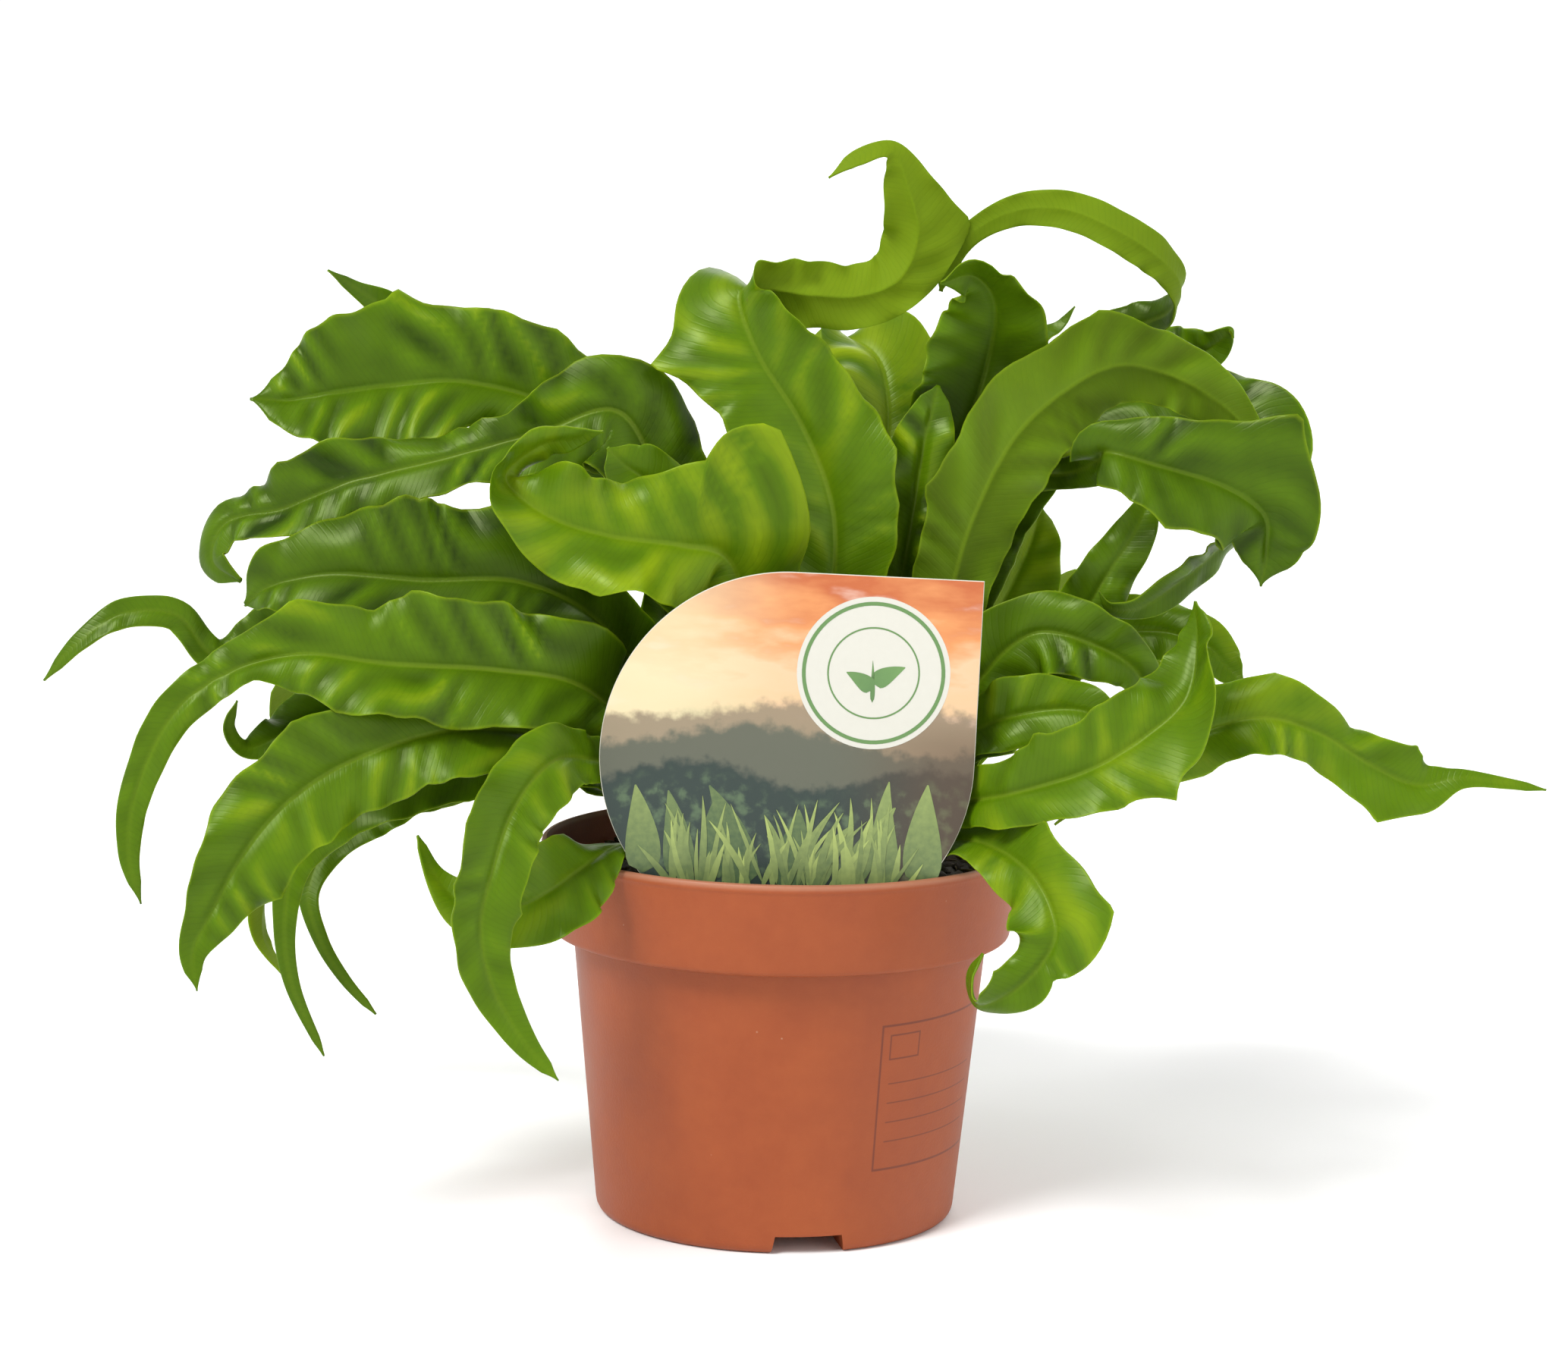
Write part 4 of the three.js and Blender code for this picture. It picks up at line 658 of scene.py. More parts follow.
# %% [markdown]
# ## Leaf skin
# A living frond is never one green. The upper skin is glossy and deep green, paler and yellower
# along the midrib, along the margins and on young growth; the underside is duller and lighter.
# Fine side veins leave the midrib at a steep angle. The blade's own coordinates, stored on its
# points, place all of this, so it follows every twist. Light also passes through a thin blade, and
# a little subsurface scattering gives that glow.

# %% Frond material
# Deep green is also the painted shade in the pleats' hollows, and young green also the painted sheen on their
# crests
DEEP_GREEN, BRIGHT_GREEN = (0.015, 0.036, 0.0008), (0.072, 0.144, 0.0010)
YOUNG_AND_SHEEN_GREEN, UNDERSIDE_GREEN = (0.23, 0.315, 0.005), (0.112, 0.182, 0.0020)
MIDRIB_GREEN, STALK_BROWN = (0.14, 0.21, 0.010), (0.04, 0.03, 0.008)
FRECKLE_BROWN = (0.10, 0.05, 0.015)
VEIN_SPACING, VEIN_SLANT = 1.5, 0.55


def leaf_material():
    material, g, skin, place = material_of("frond_skin")
    offset, along, across, share, tone, upper, crest = (
        g.attribute("blade_" + label)
        for label in ("offset", "along", "across", "share", "tone", "upper", "relief"))
    aside = g.math("ABSOLUTE", offset)
    clouds = use_group(g, MOTTLE, Vector=place, Size=0.022, Contrast=1.6)
    # Side veins: thin dark lines that slant from the midrib towards the tip
    run = g.math("MULTIPLY_ADD", aside, -VEIN_SLANT, along)
    jitter = use_group(g, MOTTLE, Vector=place, Size=0.006, Contrast=1.0)
    beat = g.times(g.plus(run, jitter), 2 * math.pi / VEIN_SPACING)
    vein = g.smooth_step(g.math("SINE", beat), 0.45, 1.0)
    # Upper side, from the frond's own tone and clouds, with painted sheen: lighter along the crests of
    # the pleats, and painted shade, darker, in their hollows
    level = g.plus(g.times(tone, 0.75), g.times(clouds, 0.45))
    level = g.math("MULTIPLY_ADD", crest, 0.42, g.minus(level, 0.12))
    green = g.ramp(level, [(0.0, DEEP_GREEN), (0.55, BRIGHT_GREEN), (1.0, YOUNG_AND_SHEEN_GREEN)])
    margin = g.smooth_step(g.math("ABSOLUTE", across), 0.93, 1.0)
    green = g.mix(g.times(margin, 0.35), green, YOUNG_AND_SHEEN_GREEN)
    green = g.mix(g.times(vein, 0.06), green, DEEP_GREEN)
    rib = g.minus(1.0, g.smooth_step(aside, 0.25, 0.95))
    green = g.mix(g.times(rib, g.minus(0.6, g.times(share, 0.5))), green, MIDRIB_GREEN)
    # Underside: lighter, and on a dark frond dark too; painted sheen lightens its own crests, which lie
    # under the pleats' hollows, and painted shade darkens its hollows
    shade = g.math("MULTIPLY_ADD", crest, -0.3, clouds)
    below = g.mix(g.times(shade, 0.22), UNDERSIDE_GREEN, YOUNG_AND_SHEEN_GREEN)
    below = g.mix(g.smooth_step(tone, 0.5, 0.0), below, green)
    below = g.mix(g.times(vein, 0.12), below, BRIGHT_GREEN)
    colour = g.mix(upper, below, green)
    stalk = g.minus(1.0, g.smooth_step(along, 4.0, 16.0))
    colour = g.mix(g.times(stalk, 0.85), colour, STALK_BROWN)
    freckle = use_group(g, SPECKS, Vector=place, Spacing=0.013, Radius=0.05, Share=0.16)
    colour = g.mix(g.times(freckle, 0.7), colour, FRECKLE_BROWN)
    gloss = g.math("MULTIPLY_ADD", clouds, 0.16, 0.28)
    fine = use_group(g, GRAIN, Vector=place, Size=0.0009)
    height = g.plus(g.times(vein, -0.6), g.times(fine, 0.35))
    g.feed(skin, {"Base Color": colour,
                  "Roughness": g.math("MULTIPLY_ADD", g.minus(1.0, upper), 0.34, gloss),
                  "IOR": 1.38, "Specular IOR Level": 0.36, "Specular Tint": (0.85, 1.0, 0.50, 1.0),
                  "Subsurface Weight": 0.22, "Subsurface Radius": (0.6, 1.0, 0.25),
                  "Subsurface Scale": 0.0016, "Normal": g.bump(height, 0.18, 0.0002)})
    return material


LEAF = leaf_material()
print("frond material:", LEAF.name, len(LEAF.node_tree.nodes), "nodes")

# %% [markdown]
# ## Growing the fronds
# One loop makes all the blades. The seed only shifts where pleats and ripples start, so no two
# fronds share a pattern and every run gives the same plant.

# %% Make every frond
faces = 0
for number, (name, frond) in enumerate(FRONDS.items()):
    blade = make_frond(name, frond, LEAF, seed=0.7 + 2.3 * number)
    faces += len(blade.data.polygons)
print(len(FRONDS), "blades,", faces, "faces")

# %% [markdown]
# ## The nursery pot
# The pot is thin injection-moulded plastic: a tapering wall, a step out to a taller rim band, a
# rounded lip, and a foot cut by three drain channels with a slot behind each. A lathe makes it,
# because every height has one radius, and Boolean cutters make the channels and slots. The lathe
# has many more sides than the solid, so the outline is smooth.

# %% Lathe helper
ROUND_STEPS = 5


def lathe(name, profile, sides, material):
    """Turn an outline of (radius, height) about the upright axis; ends at radius 0 close it."""
    points, rings, faces_ = [], [], []
    for radius, height in profile:
        turns = [2 * math.pi * k / sides for k in range(sides if radius > 0 else 1)]
        rings.append([len(points) + k for k in range(len(turns))])
        points += [(radius * MM * math.cos(a), radius * MM * math.sin(a), height * MM) for a in turns]
    for low, high in zip(rings, rings[1:]):
        for k in range(sides):
            n = (k + 1) % sides
            corners = (low[k % len(low)], low[n % len(low)], high[n % len(high)], high[k % len(high)])
            # At an end on the axis two of the corners are one point
            faces_.append(list(dict.fromkeys(corners)))
    made = mesh_object(name, points, faces_, material)
    face_outward(made)
    return made


def rounded(points, radii):
    """Replace each inner corner of an outline by an arc-like curve of the given reach."""
    outline = [points[0]]
    for before, corner, after, reach in zip(points, points[1:], points[2:], radii):
        b, c, a = (Vector(p) for p in (before, corner, after))
        start = c + (b - c).normalized() * min(reach, (b - c).length * 0.45)
        end = c + (a - c).normalized() * min(reach, (a - c).length * 0.45)
        for k in range(ROUND_STEPS + 1):
            t = k / ROUND_STEPS
            outline.append(tuple((1 - t) ** 2 * start + 2 * t * (1 - t) * c + t * t * end))
    return outline + [points[-1]]


print("lathe ready")

# %% [markdown]
# ## Terracotta-coloured plastic
# Up close the plastic isn't flat in colour. It has a fine moulded grain, a faint cloudiness, a
# few pale dust specks, a rubbed lip, and a printed frame with blank rules where a plant passport
# would be. The frame is drawn from the pot's own angle and height, so it wraps the wall.

# %% Pot material
TERRACOTTA, PALE_TERRACOTTA, DUST = (0.235, 0.044, 0.008), (0.30, 0.066, 0.014), (0.46, 0.27, 0.18)
PRINT_BROWN = (0.10, 0.018, 0.008)
# The printed frame, in degrees round the pot and in millimetres of height
FRAME_ANGLE, FRAME_ARC, WALL_RADIUS = -35.0, 25.0, 50.0
FRAME_LOW, FRAME_HIGH, FRAME_LINE, RULE_SPACING = 20.0, 57.0, 0.55, 4.9
LIP_LOW, LIP_HIGH = 92.2, 93.4


def band(graph, value, low, high, soft):
    """1 where value lies between low and high, with soft edges."""
    return graph.times(graph.smooth_step(value, low - soft, low + soft),
                       graph.minus(1.0, graph.smooth_step(value, high - soft, high + soft)))


def pot_material():
    material, g, skin, place = material_of("terracotta_plastic")
    xyz = g.add("ShaderNodeSeparateXYZ", {0: place}).outputs
    angle = g.math("DEGREES", g.math("ARCTAN2", xyz["Y"], xyz["X"]))
    height = g.times(xyz["Z"], 1 / MM)
    # Print coordinates in millimetres: across the wall from the frame's middle, and height
    print_x = g.times(g.minus(angle, FRAME_ANGLE), math.radians(WALL_RADIUS))
    side_x = g.math("ABSOLUTE", print_x)
    reach = WALL_RADIUS * math.radians(FRAME_ARC)

    def field(low, high, across, left, right, soft):
        return g.times(band(g, height, FRAME_LOW + low, FRAME_HIGH - high, soft),
                       band(g, across, left, right, soft))

    outline = g.minus(field(0, 0, side_x, -1.0, reach, 0.12),
                      field(FRAME_LINE, FRAME_LINE, side_x, -1.0, reach - FRAME_LINE, 0.12))
    # Blank rules, as on an unfilled form, and an empty box above them
    beat = g.math("FRACT", g.math("DIVIDE", g.minus(height, FRAME_LOW), RULE_SPACING))
    rules = g.times(band(g, beat, 0.46, 0.52, 0.02), field(4, 11, print_x, 3 - reach, reach - 5, 0.2))
    box = g.minus(field(28.0, 2.6, print_x, 2.6 - reach, 12.0 - reach, 0.1),
                  field(28.4, 3.0, print_x, 3.0 - reach, 11.6 - reach, 0.1))
    print_mask = g.math("MAXIMUM", outline, g.math("MAXIMUM", rules, box))
    clouds = use_group(g, MOTTLE, Vector=place, Size=0.016, Contrast=1.8)
    small = use_group(g, MOTTLE, Vector=place, Size=0.0035, Contrast=1.6)
    tone = g.math("MULTIPLY_ADD", small, 0.35, g.times(clouds, 0.65))
    colour = g.mix(tone, TERRACOTTA, PALE_TERRACOTTA)
    colour = g.mix(g.times(print_mask, 0.75), colour, PRINT_BROWN)
    dust = use_group(g, SPECKS, Vector=place, Spacing=0.0055, Radius=0.055, Share=0.3)
    crumbs = use_group(g, SPECKS, Vector=place, Spacing=0.015, Radius=0.05, Share=0.35)
    colour = g.mix(g.times(dust, 0.6), colour, DUST)
    colour = g.mix(g.times(crumbs, 0.7), colour, PRINT_BROWN)
    colour = g.mix(g.times(g.smooth_step(height, LIP_LOW, LIP_HIGH), 0.35), colour, DUST)
    fine = use_group(g, GRAIN, Vector=place, Size=0.0007)
    relief = g.plus(g.times(fine, 0.7), g.times(dust, 0.6))
    g.feed(skin, {"Base Color": colour, "Roughness": g.math("MULTIPLY_ADD", clouds, 0.12, 0.44),
                  "IOR": 1.4, "Subsurface Weight": 0.05, "Subsurface Scale": 0.001,
                  "Normal": g.bump(relief, 0.25, 0.0003)})
    return material


PLASTIC = pot_material()
print("pot material:", PLASTIC.name)

# %% Pot body
POT_HEIGHT, RIM_RADIUS, COLLAR_FOOT_RADIUS, COLLAR_FOOT_Z = 94.0, 60.0, 57.5, 71.5
BODY_TOP_RADIUS, BASE_RADIUS, POT_WALL, FLOOR_THICKNESS = 51.7, 44.8, 1.5, 1.8
POT_SIDES = 180
CHANNEL_COUNT, CHANNEL_ANGLE, CHANNEL_HEIGHT = 3, -79.0, 4.6
CHANNEL_WIDTH_TOP, CHANNEL_WIDTH_FOOT, CHANNEL_INNER_RADIUS = 16.5, 18.5, 29.0
SLOT_WIDTH, SLOT_LENGTH, SLOT_INSET = 9.0, 5.0, 1.5
# Cutters go this far past the plastic, so that no face lies on another
PAST = 4.0

outside = rounded(
    [(0, 0), (BASE_RADIUS, 0), (BODY_TOP_RADIUS, COLLAR_FOOT_Z - 0.4),
     (COLLAR_FOOT_RADIUS - 0.2, COLLAR_FOOT_Z - 0.3), (RIM_RADIUS - 0.4, POT_HEIGHT - 2.6),
     (RIM_RADIUS, POT_HEIGHT - 1.8), (RIM_RADIUS - 0.3, POT_HEIGHT - 0.2),
     (RIM_RADIUS - 1.4, POT_HEIGHT - 0.1)],
    [2.6, 0.7, 1.5, 0.6, 0.8, 0.6])
inside = rounded(
    [(RIM_RADIUS - 1.4, POT_HEIGHT - 0.1), (RIM_RADIUS - 1.7, POT_HEIGHT - 1.2),
     (COLLAR_FOOT_RADIUS - POT_WALL, COLLAR_FOOT_Z + 1.2),
     (BODY_TOP_RADIUS - POT_WALL, COLLAR_FOOT_Z + 1.2),
     (BASE_RADIUS - POT_WALL, CHANNEL_HEIGHT + FLOOR_THICKNESS), (0, CHANNEL_HEIGHT + FLOOR_THICKNESS)],
    [0.5, 0.8, 0.8, 1.5])


def bar(inner, outer, foot_z, top_z, foot_width, top_width):
    """A bar that points away from the axis, narrower at its top, as points and faces."""
    section = [(-foot_width / 2, foot_z), (foot_width / 2, foot_z),
               (top_width / 2, top_z), (-top_width / 2, top_z)]
    sides = [(k, (k + 1) % 4, (k + 1) % 4 + 4, k + 4) for k in range(4)]
    return [(x, y, z) for x in (inner, outer) for y, z in section], [(3, 2, 1, 0), (4, 5, 6, 7)] + sides


def cut(target, shape, angle):
    """Take a shape, turned about the pot's axis, out of a closed mesh for good."""
    points, faces_ = shape
    turn_ = Matrix.Rotation(math.radians(angle), 4, "Z")
    cutter = mesh_object("cutter", [turn_ @ (Vector(p) * MM) for p in points], faces_, PLASTIC, smooth=False)
    face_outward(cutter)
    modifier = target.modifiers.new("cut", "BOOLEAN")
    modifier.object, modifier.operation, modifier.solver = cutter, "DIFFERENCE", "EXACT"
    bpy.context.view_layer.objects.active = target
    bpy.context.view_layer.update()
    with bpy.context.temp_override(object=target, active_object=target):
        bpy.ops.object.modifier_apply(modifier=modifier.name)
    bpy.data.objects.remove(cutter)


pot = lathe("nursery_pot", outside + inside[1:], POT_SIDES, PLASTIC)
slot_foot = CHANNEL_INNER_RADIUS + SLOT_INSET
cutters = (bar(CHANNEL_INNER_RADIUS, BASE_RADIUS + PAST, -1, CHANNEL_HEIGHT,
               CHANNEL_WIDTH_FOOT, CHANNEL_WIDTH_TOP),
           bar(slot_foot, slot_foot + SLOT_LENGTH, CHANNEL_HEIGHT - PAST, CHANNEL_HEIGHT + PAST,
               SLOT_WIDTH, SLOT_WIDTH))
for k in range(CHANNEL_COUNT):
    for shape in cutters:
        cut(pot, shape, CHANNEL_ANGLE + k * 360 / CHANNEL_COUNT)
pot.data.set_sharp_from_angle(angle=math.radians(40))
dress(pot, "pot")
print("pot:", len(pot.data.polygons), "faces")

# %% [markdown]
# ## Peat, crumbs and fibres
# Potting soil is a dark, broken surface of peat crumbs and bark fibres. A bumpy disc gives the
# bed. Small lumps and short fibres lie on it, because a bump map alone looks painted when the
# light comes from the side.

# %% Peat material
def peat_material(name, dark, light):
    material, g, skin, place = material_of(name)
    clouds = use_group(g, MOTTLE, Vector=place, Size=0.004, Contrast=2.2)
    fine = use_group(g, GRAIN, Vector=place, Size=0.0008)
    g.feed(skin, {"Base Color": g.mix(clouds, dark, light), "Normal": g.bump(fine, 0.6, 0.0005),
                  "Roughness": g.math("MULTIPLY_ADD", clouds, 0.2, 0.75)})
    return material


PEAT = peat_material("peat", (0.012, 0.0075, 0.005), (0.045, 0.028, 0.018))
FIBRE = peat_material("bark_fibre", (0.045, 0.026, 0.014), (0.16, 0.10, 0.06))
print("peat materials ready")

# %% Soil bed
SOIL_EDGE_Z, SOIL_MOUND, SOIL_LUMP = 85.5, 1.5, 1.3
SOIL_RADIUS = 57.0
rng = np.random.default_rng(7)


def soil_height(x, y):
    lumps = np.sin(0.31 * x + 0.9) * np.cos(0.27 * y - 0.4) + 0.6 * np.sin(0.53 * x - 0.47 * y + 1.7)
    fine = 0.5 * np.sin(1.3 * x + 0.8 * y) * np.sin(1.1 * y - 0.7 * x + 1) \
        + 0.35 * np.sin(2.3 * x - 1.9 * y)
    mound = SOIL_MOUND * (1 - np.hypot(x, y) / SOIL_RADIUS)
    return SOIL_EDGE_Z + mound + SOIL_LUMP * lumps * 0.5 + fine * 0.6


RINGS, SPOKES = 46, 150
radii = SOIL_RADIUS * np.linspace(0.02, 1, RINGS)[:, None]
turns = np.linspace(0, 2 * np.pi, SPOKES, endpoint=False)[None, :]
bed_x, bed_y = radii * np.cos(turns), radii * np.sin(turns)
top = np.stack([bed_x, bed_y, soil_height(bed_x, bed_y)], 2).reshape(-1, 3)
# Below the surface the bed follows the pot's inside: collar, step and tapering wall
INSIDE = [(55.6, 76.0), (49.4, 72.4), (43.4, 9.0)]
unit_ring = np.stack([np.cos(turns[0]), np.sin(turns[0]), np.zeros(SPOKES)], 1)
skirts = np.concatenate([unit_ring * r + (0, 0, z) for r, z in INSIDE])
soil = mesh_object("soil_bed", np.concatenate([top, skirts]) * MM,
                   tube_faces(RINGS + len(INSIDE), SPOKES), PEAT)
dress(soil, "potting_soil")
print("soil bed:", len(soil.data.polygons), "faces")

# %% Crumbs and fibres
CRUMBS, FIBRES, BARE_RADIUS = 1500, 260, 24.0


def lumps_mesh(name, places, sizes, material, stretch=1.0):
    """Many small uneven stones in one mesh, each a low icosphere with its points pushed about."""
    bm = bmesh.new()
    bmesh.ops.create_icosphere(bm, subdivisions=1, radius=1)
    unit_points = np.array([v.co for v in bm.verts])
    unit_faces = np.array([[v.index for v in f.verts] for f in bm.faces])
    bm.free()
    points, faces_ = [], []
    for n, (place, size) in enumerate(zip(places, sizes)):
        shape = unit_points * (1 + rng.uniform(-0.28, 0.28, (len(unit_points), 1)))
        shape = shape * rng.uniform(0.6, 1.3, 3) * (stretch, 1, 1)
        spin = rng.uniform(0, 2 * math.pi)
        cos_, sin_ = math.cos(spin), math.sin(spin)
        shape = shape @ np.array([[cos_, sin_, 0], [-sin_, cos_, 0], [0, 0, 1]])
        points.append(place + shape * size)
        faces_.append(unit_faces + n * len(unit_points))
    return mesh_object(name, np.concatenate(points) * MM, np.concatenate(faces_), material)


def on_soil(count, outer, above):
    """Places on the soil between the crown and a radius, standing a little above its top."""
    radius = np.sqrt(rng.uniform(BARE_RADIUS ** 2, outer ** 2, count))
    angle_ = rng.uniform(0, 2 * np.pi, count)
    x, y = radius * np.cos(angle_), radius * np.sin(angle_)
    return np.stack([x, y, soil_height(x, y) + above], 1)


crumb_sizes = rng.gamma(2.2, 0.34, CRUMBS).clip(0.25, 2.1)
crumbs = lumps_mesh("soil_crumbs", on_soil(CRUMBS, 56, 0.1), crumb_sizes, PEAT)
fibres = lumps_mesh("soil_fibres", on_soil(FIBRES, 55, 0.5), rng.uniform(0.2, 0.42, FIBRES), FIBRE,
                    stretch=9)
for piece in (crumbs, fibres):
    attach(piece, "root")
print("crumbs and fibres:", len(crumbs.data.polygons) + len(fibres.data.polygons), "faces")

# %% [markdown]
# ## The crown
# All stems meet in one short rhizome, covered with brown papery scales. Almost nothing of it shows
# between the stems, so a rough dome and a few hundred pointed scales standing off it are enough.

# %% Crown dome and scales
CROWN_ROOT_Z, CROWN_SIDES, SCALES, SCALE_THICKNESS = 76.0, 64, 420, 0.12
dome_radii = [share * CROWN_RADIUS for share in (0.97, 0.85, 0.7, 0.5, 0.25, 0.05)]
crown_outline = [(0, CROWN_ROOT_Z), (CROWN_RADIUS - 5, CROWN_ROOT_Z), (CROWN_RADIUS, CROWN_ROOT_Z + 6),
                 *((r, crown_height(r)) for r in dome_radii), (0, CROWN_TOP_Z)]
SCALE_BROWN = peat_material("crown_scales", (0.03, 0.016, 0.008), (0.12, 0.062, 0.028))
dome = lathe("crown_dome", crown_outline, CROWN_SIDES, SCALE_BROWN)
dress(dome, "crown")


def scale_points(place, outward, length, half):
    """Ten corners of a pointed scale that leans outward: five in front and five behind them."""
    side = np.cross(outward, (0, 0, 1.0))
    side /= np.linalg.norm(side) + 1e-9
    lift = outward * 0.75 + np.array([0, 0, 0.9])
    foot, middle, tip = place, place + lift * length * 0.55, place + lift * length + outward * 0.6
    thick = outward * SCALE_THICKNESS
    foot_half, middle_half = side * half, side * half * 0.8
    flat = [foot - foot_half, foot + foot_half, middle + middle_half, tip, middle - middle_half]
    return flat + [p - thick for p in flat]


SCALE_FACES = [(0, 1, 2, 4), (4, 2, 3), (6, 5, 9, 7), (7, 9, 8), (1, 0, 5, 6), (2, 1, 6, 7), (3, 2, 7, 8),
               (4, 3, 8, 9), (0, 4, 9, 5)]
points, faces_list = [], []
for n in range(SCALES):
    r, a = CROWN_RADIUS * math.sqrt(rng.uniform(0.05, 0.98)), rng.uniform(0, 2 * math.pi)
    outward = np.array([math.cos(a), math.sin(a), 0.0])
    place = outward * r + np.array([0, 0, crown_height(r) - 0.6])
    points += scale_points(place, outward, rng.uniform(3.0, 6.5), rng.uniform(0.5, 1.0))
    faces_list += [tuple(i + 10 * n for i in face) for face in SCALE_FACES]
scales = mesh_object("crown_scales", np.array(points) * MM, faces_list, SCALE_BROWN, smooth=False)
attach(scales, "root")
print("crown:", len(dome.data.polygons) + len(scales.data.polygons), "faces")

# %% [markdown]
# ## The plant label
# A stiff printed card on its own stake stands at the front: round, with one square corner. Its
# picture here is a generic one, a warm sky over misty hills with a fringe of grass and broad
# leaves, and a plain cream disc with a sprout where a badge would be. The sky and hills are soft,
# so a shader paints them from the card's own coordinates. The leaves, the disc and its rings are
# crisp, so they are thin inlays with real edges.

# %% Card shape
CARD_RADIUS, CARD_CENTRE, CARD_THICKNESS = 44.6, (0.8, -44.0, 121.6), 0.9
CARD_TILT, CARD_LEAN = -1.6, 1.5
STAKE_WIDTH, STAKE_LENGTH, STAKE_OVERLAP, STAKE_POINT = 10.0, 44.0, 6.0, 8.0
CARD_EDGE = 0.16
card_turn = Matrix.Rotation(math.pi / 2 - math.radians(CARD_LEAN), 3, "X") \
    @ Matrix.Rotation(math.radians(CARD_TILT), 3, "Z")


def from_card(points):
    """Points given across, up and out of the card's middle, in the plant's frame."""
    return np.asarray(points, float) @ np.array(card_turn).T + np.array(CARD_CENTRE)


def card_outline(inset):
    """Once round the card from its square corner, down the left side and round the stake."""
    r, half = CARD_RADIUS - inset, STAKE_WIDTH / 2 - inset
    foot = -CARD_RADIUS + STAKE_OVERLAP - STAKE_LENGTH + inset
    meet = math.asin(half / r)
    left = np.linspace(math.pi / 2, 1.5 * math.pi - meet, 90)
    right = np.linspace(1.5 * math.pi + meet, 2 * math.pi, 36)
    points = [(r, r)] + [(r * math.cos(a), r * math.sin(a)) for a in left]
    points += [(-half, foot + STAKE_POINT), (0, foot), (half, foot + STAKE_POINT)]
    return np.array(points + [(r * math.cos(a), r * math.sin(a)) for a in right])


# %% Card materials
def card_material():
    material, g, skin, place = material_of("printed_card")
    x, y = g.attribute("card_x"), g.attribute("card_y")
    spot = g.add("ShaderNodeCombineXYZ", {"X": x, "Y": y}).outputs[0]
    long_spot = g.add("ShaderNodeCombineXYZ", {"X": g.times(x, 0.35), "Y": y}).outputs[0]
    wash = use_group(g, MOTTLE, Vector=long_spot, Size=7.0, Contrast=2.0)
    blot = use_group(g, MOTTLE, Vector=spot, Size=4.0, Contrast=2.0)
    sky_at = g.plus(g.math("DIVIDE", y, 44.0), g.times(g.minus(wash, 0.5), 0.5))
    sky = g.ramp(sky_at, [(0.0, (0.38, 0.33, 0.17)), (0.22, (0.56, 0.40, 0.22)), (0.45, (0.66, 0.42, 0.25)),
                          (0.70, (0.60, 0.24, 0.08)), (1.0, (0.42, 0.10, 0.025))])
    sky = g.mix(g.times(g.smooth_step(wash, 0.62, 0.95), 0.6), sky, (0.66, 0.50, 0.42))
    # The low sun's pale glow lies over the left half
    colour = g.mix(g.times(g.smooth_step(x, 6.0, -34.0), 0.62), sky, (0.66, 0.60, 0.38))
    # Three ranges of hills, each nearer, lower and darker than the one behind
    ranges = [(11.0, 17.0, 0.6, (0.22, 0.17, 0.11)), (4.0, 12.0, 2.1, (0.075, 0.085, 0.06)),
              (-5.0, 9.0, 4.0, (0.010, 0.026, 0.022))]
    for height, length, start, tint in ranges:
        swell = g.math("SINE", g.plus(g.math("DIVIDE", x, length), start))
        crest = g.plus(g.math("MULTIPLY_ADD", swell, 3.0, height), g.times(blot, 4.0))
        below = g.smooth_step(g.minus(crest, y), -0.4, 2.6)
        colour = g.mix(g.times(below, 0.92), colour, tint)
    # Patches of grass on the nearest hill, and an evening shade over the right-hand slopes
    nearest = g.smooth_step(g.minus(crest, y), 2.0, 9.0)
    grass = g.times(g.times(g.smooth_step(blot, 0.45, 0.9), 0.45), nearest)
    colour = g.mix(grass, colour, (0.14, 0.22, 0.10))
    evening = g.times(g.smooth_step(x, 8.0, 42.0), g.smooth_step(y, 16.0, 2.0))
    colour = g.mix(g.times(evening, 0.5), colour, (0.10, 0.045, 0.02))
    fine = use_group(g, GRAIN, Vector=place, Size=0.0004)
    g.feed(skin, {"Base Color": colour, "Roughness": g.math("MULTIPLY_ADD", blot, 0.1, 0.38),
                  "Normal": g.bump(fine, 0.12, 0.0001)})
    return material


def inlay_material(name, deep, light, roughness):
    """Printed colour that runs from deep to light along each inlay, with a little cloudiness."""
    material, g, skin, place = material_of(name)
    clouds = use_group(g, MOTTLE, Vector=place, Size=0.0015, Contrast=1.6)
    level = g.plus(g.attribute("ink"), g.times(g.minus(clouds, 0.5), 0.22))
    g.feed(skin, {"Base Color": g.mix(g.clamped(level), deep, light), "Roughness": roughness})
    return material


PICTURE = card_material()
CARD_WHITE = inlay_material("card_edge", (0.50, 0.48, 0.40), (0.60, 0.58, 0.50), 0.6)
CREAM = inlay_material("badge_cream", (0.50, 0.49, 0.43), (0.56, 0.55, 0.49), 0.5)
INK_GREEN = inlay_material("ink_green", (0.075, 0.16, 0.05), (0.12, 0.24, 0.07), 0.5)
LEAF_PRINT = inlay_material("leaf_print", (0.03, 0.07, 0.03), (0.36, 0.44, 0.12), 0.45)
print("card materials ready")

# %% Card
CARD_FACE = CARD_THICKNESS / 2
levels = [(CARD_EDGE, CARD_FACE), (0, CARD_FACE - CARD_EDGE), (0, CARD_EDGE - CARD_FACE),
          (CARD_EDGE, -CARD_FACE)]
flat_points = [(*p, height) for inset, height in levels for p in card_outline(inset)]
card = mesh_object("label_card", from_card(flat_points) * MM,
                   tube_faces(len(levels), len(flat_points) // len(levels)), PICTURE, smooth=False)
card.data.materials.append(CARD_WHITE)
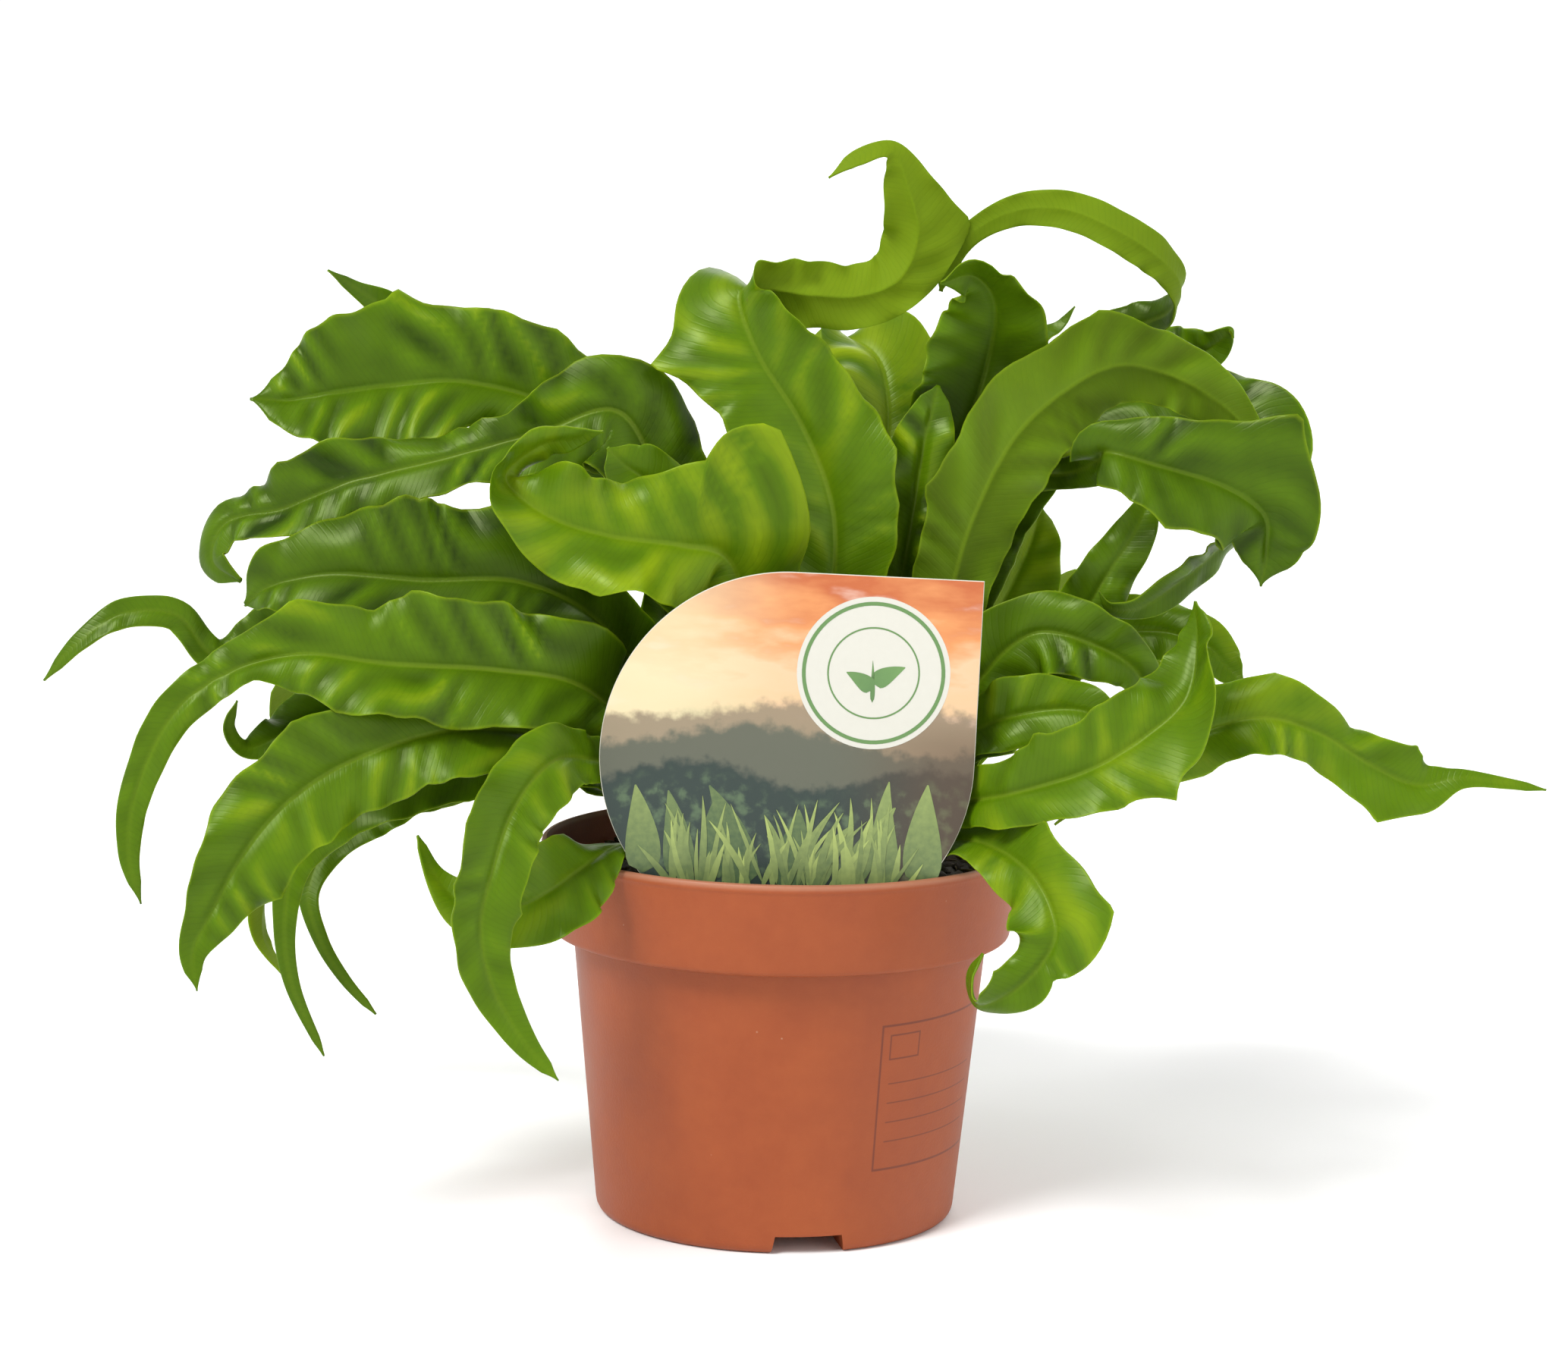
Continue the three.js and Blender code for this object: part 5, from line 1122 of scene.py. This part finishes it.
# The first face is the printed front
for face in card.data.polygons[1:]:
    face.material_index = 1
point_attribute(card, "card_x", [p[0] for p in flat_points])
point_attribute(card, "card_y", [p[1] for p in flat_points])
point_attribute(card, "ink", [0.5] * len(flat_points))
dress(card, "plant_label")
print("card:", len(card.data.polygons), "faces")

# %% Inlays: strips, discs and rings
# Each inlay stands this far above the card or the one below it, and is sunk as far into the card
INLAY = 0.05
RING_STEPS, BLADE_STEPS = 72, 12


def strips_mesh(name, strips, material):
    """Each strip is rows of (left, right, ink) places on the card, at one level above its face."""
    points, faces_, ink = [], [], []
    for rows_, level in strips:
        for height in (CARD_FACE + level * INLAY, CARD_FACE - INLAY):
            for left, right_, _ in rows_:
                points += [(*left, height), (*right_, height)]
        start = sum(len(r) * 4 for r, _ in strips[:len(faces_)])
        faces_.append(sewn_faces(len(rows_), 2) + start)
        ink += [row[2] for _ in range(2) for row in rows_ for _ in range(2)]
    piece = mesh_object(name, from_card(points) * MM, np.concatenate(faces_), material, smooth=False)
    point_attribute(piece, "ink", ink)
    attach(piece, "root")
    return piece


def blade_rows(foot, lean, length, width, bend, ink, blunt=0.5):
    """A leaf-shaped strip from its foot, leaning and bending in degrees, widest at blunt."""
    rows_, at_ = [], np.array(foot, float)
    for k in range(BLADE_STEPS + 1):
        t = k / BLADE_STEPS
        a = math.radians(90 + lean + bend * t)
        half_ = width / 2 * max(0.04, math.sin(math.pi * t ** blunt if t < 1 else 0.0) ** 0.8)
        normal = np.array([-math.sin(a), math.cos(a)])
        rows_.append((at_ + normal * half_, at_ - normal * half_, ink * (0.35 + 0.65 * t)))
        at_ = at_ + np.array([math.cos(a), math.sin(a)]) * length / BLADE_STEPS
    return rows_


def ring_rows(centre, outer, inner):
    spokes = [np.array([math.cos(a), math.sin(a)]) for a in np.linspace(0, 2 * math.pi, RING_STEPS + 1)]
    return [(np.array(centre) + outer * s, np.array(centre) + inner * s, 0.5) for s in spokes]


BROAD_LEAVES, GRASSES = 9, 75
leaves = []
for n in range(BROAD_LEAVES):
    foot = (-33 + 8.2 * n + rng.uniform(-2, 2), -31 + 0.5 * abs(n - 4) + rng.uniform(-1, 1))
    leaves.append((blade_rows(foot, rng.uniform(-22, 22), rng.uniform(18, 29), rng.uniform(6, 9.5),
                              rng.uniform(-25, 25), rng.uniform(0.15, 0.55)), 1 + 0.15 * n))
for n in range(GRASSES):
    x0 = rng.uniform(-27, 27)
    foot = (x0, -30 - 3.0 * rng.uniform(0, 1) - 0.04 * abs(x0))
    leaves.append((blade_rows(foot, -0.5 * x0 + rng.uniform(-24, 24), rng.uniform(9, 24),
                              rng.uniform(0.9, 1.9), rng.uniform(-35, 35), rng.uniform(0.45, 1.0),
                              blunt=0.7), 3 + 0.03 * n))
leaves_print = strips_mesh("label_leaves", leaves, LEAF_PRINT)
BADGE, BADGE_RADIUS, BADGE_INNER_RING = (19.5, 21.5), 18.2, 11.0
badge = strips_mesh("label_badge", [(ring_rows(BADGE, BADGE_RADIUS, 0.2), 1)], CREAM)
sprout = [(ring_rows(BADGE, BADGE_RADIUS - 1.2, BADGE_RADIUS - 2.1), 2),
          (ring_rows(BADGE, BADGE_INNER_RING, BADGE_INNER_RING - 0.4), 2),
          (blade_rows((19.5, 14.5), 0, 10, 1.1, 4, 0.5), 2),
          (blade_rows((19.6, 19.0), -52, 8.5, 4.4, -18, 1.0), 2),
          (blade_rows((19.5, 17.6), 50, 7.5, 4.0, 20, 0.7), 2.2)]
badge_ink = strips_mesh("label_badge_ink", sprout, INK_GREEN)
print("inlays:", sum(len(o.data.polygons) for o in (leaves_print, badge, badge_ink)), "faces")

# %% [markdown]
# ## Floor
# The floor is a pale, nearly white sheet. It has a breath of mottle and a fine grain, so that the
# pot's soft shadow falls on a surface and not on nothing.

# %% Floor material
paper, g, skin, place = material_of("pale_floor")
clouds = use_group(g, MOTTLE, Vector=place, Size=0.3, Contrast=0.8)
fine = use_group(g, GRAIN, Vector=place, Size=0.0015)
g.feed(skin, {"Base Color": g.mix(clouds, (0.91, 0.91, 0.91), (0.955, 0.955, 0.95)),
              "Roughness": g.math("MULTIPLY_ADD", clouds, 0.1, 0.6),
              "Normal": g.bump(fine, 0.08, 0.0003)})
floor.data.materials.append(paper)
print("floor ready")
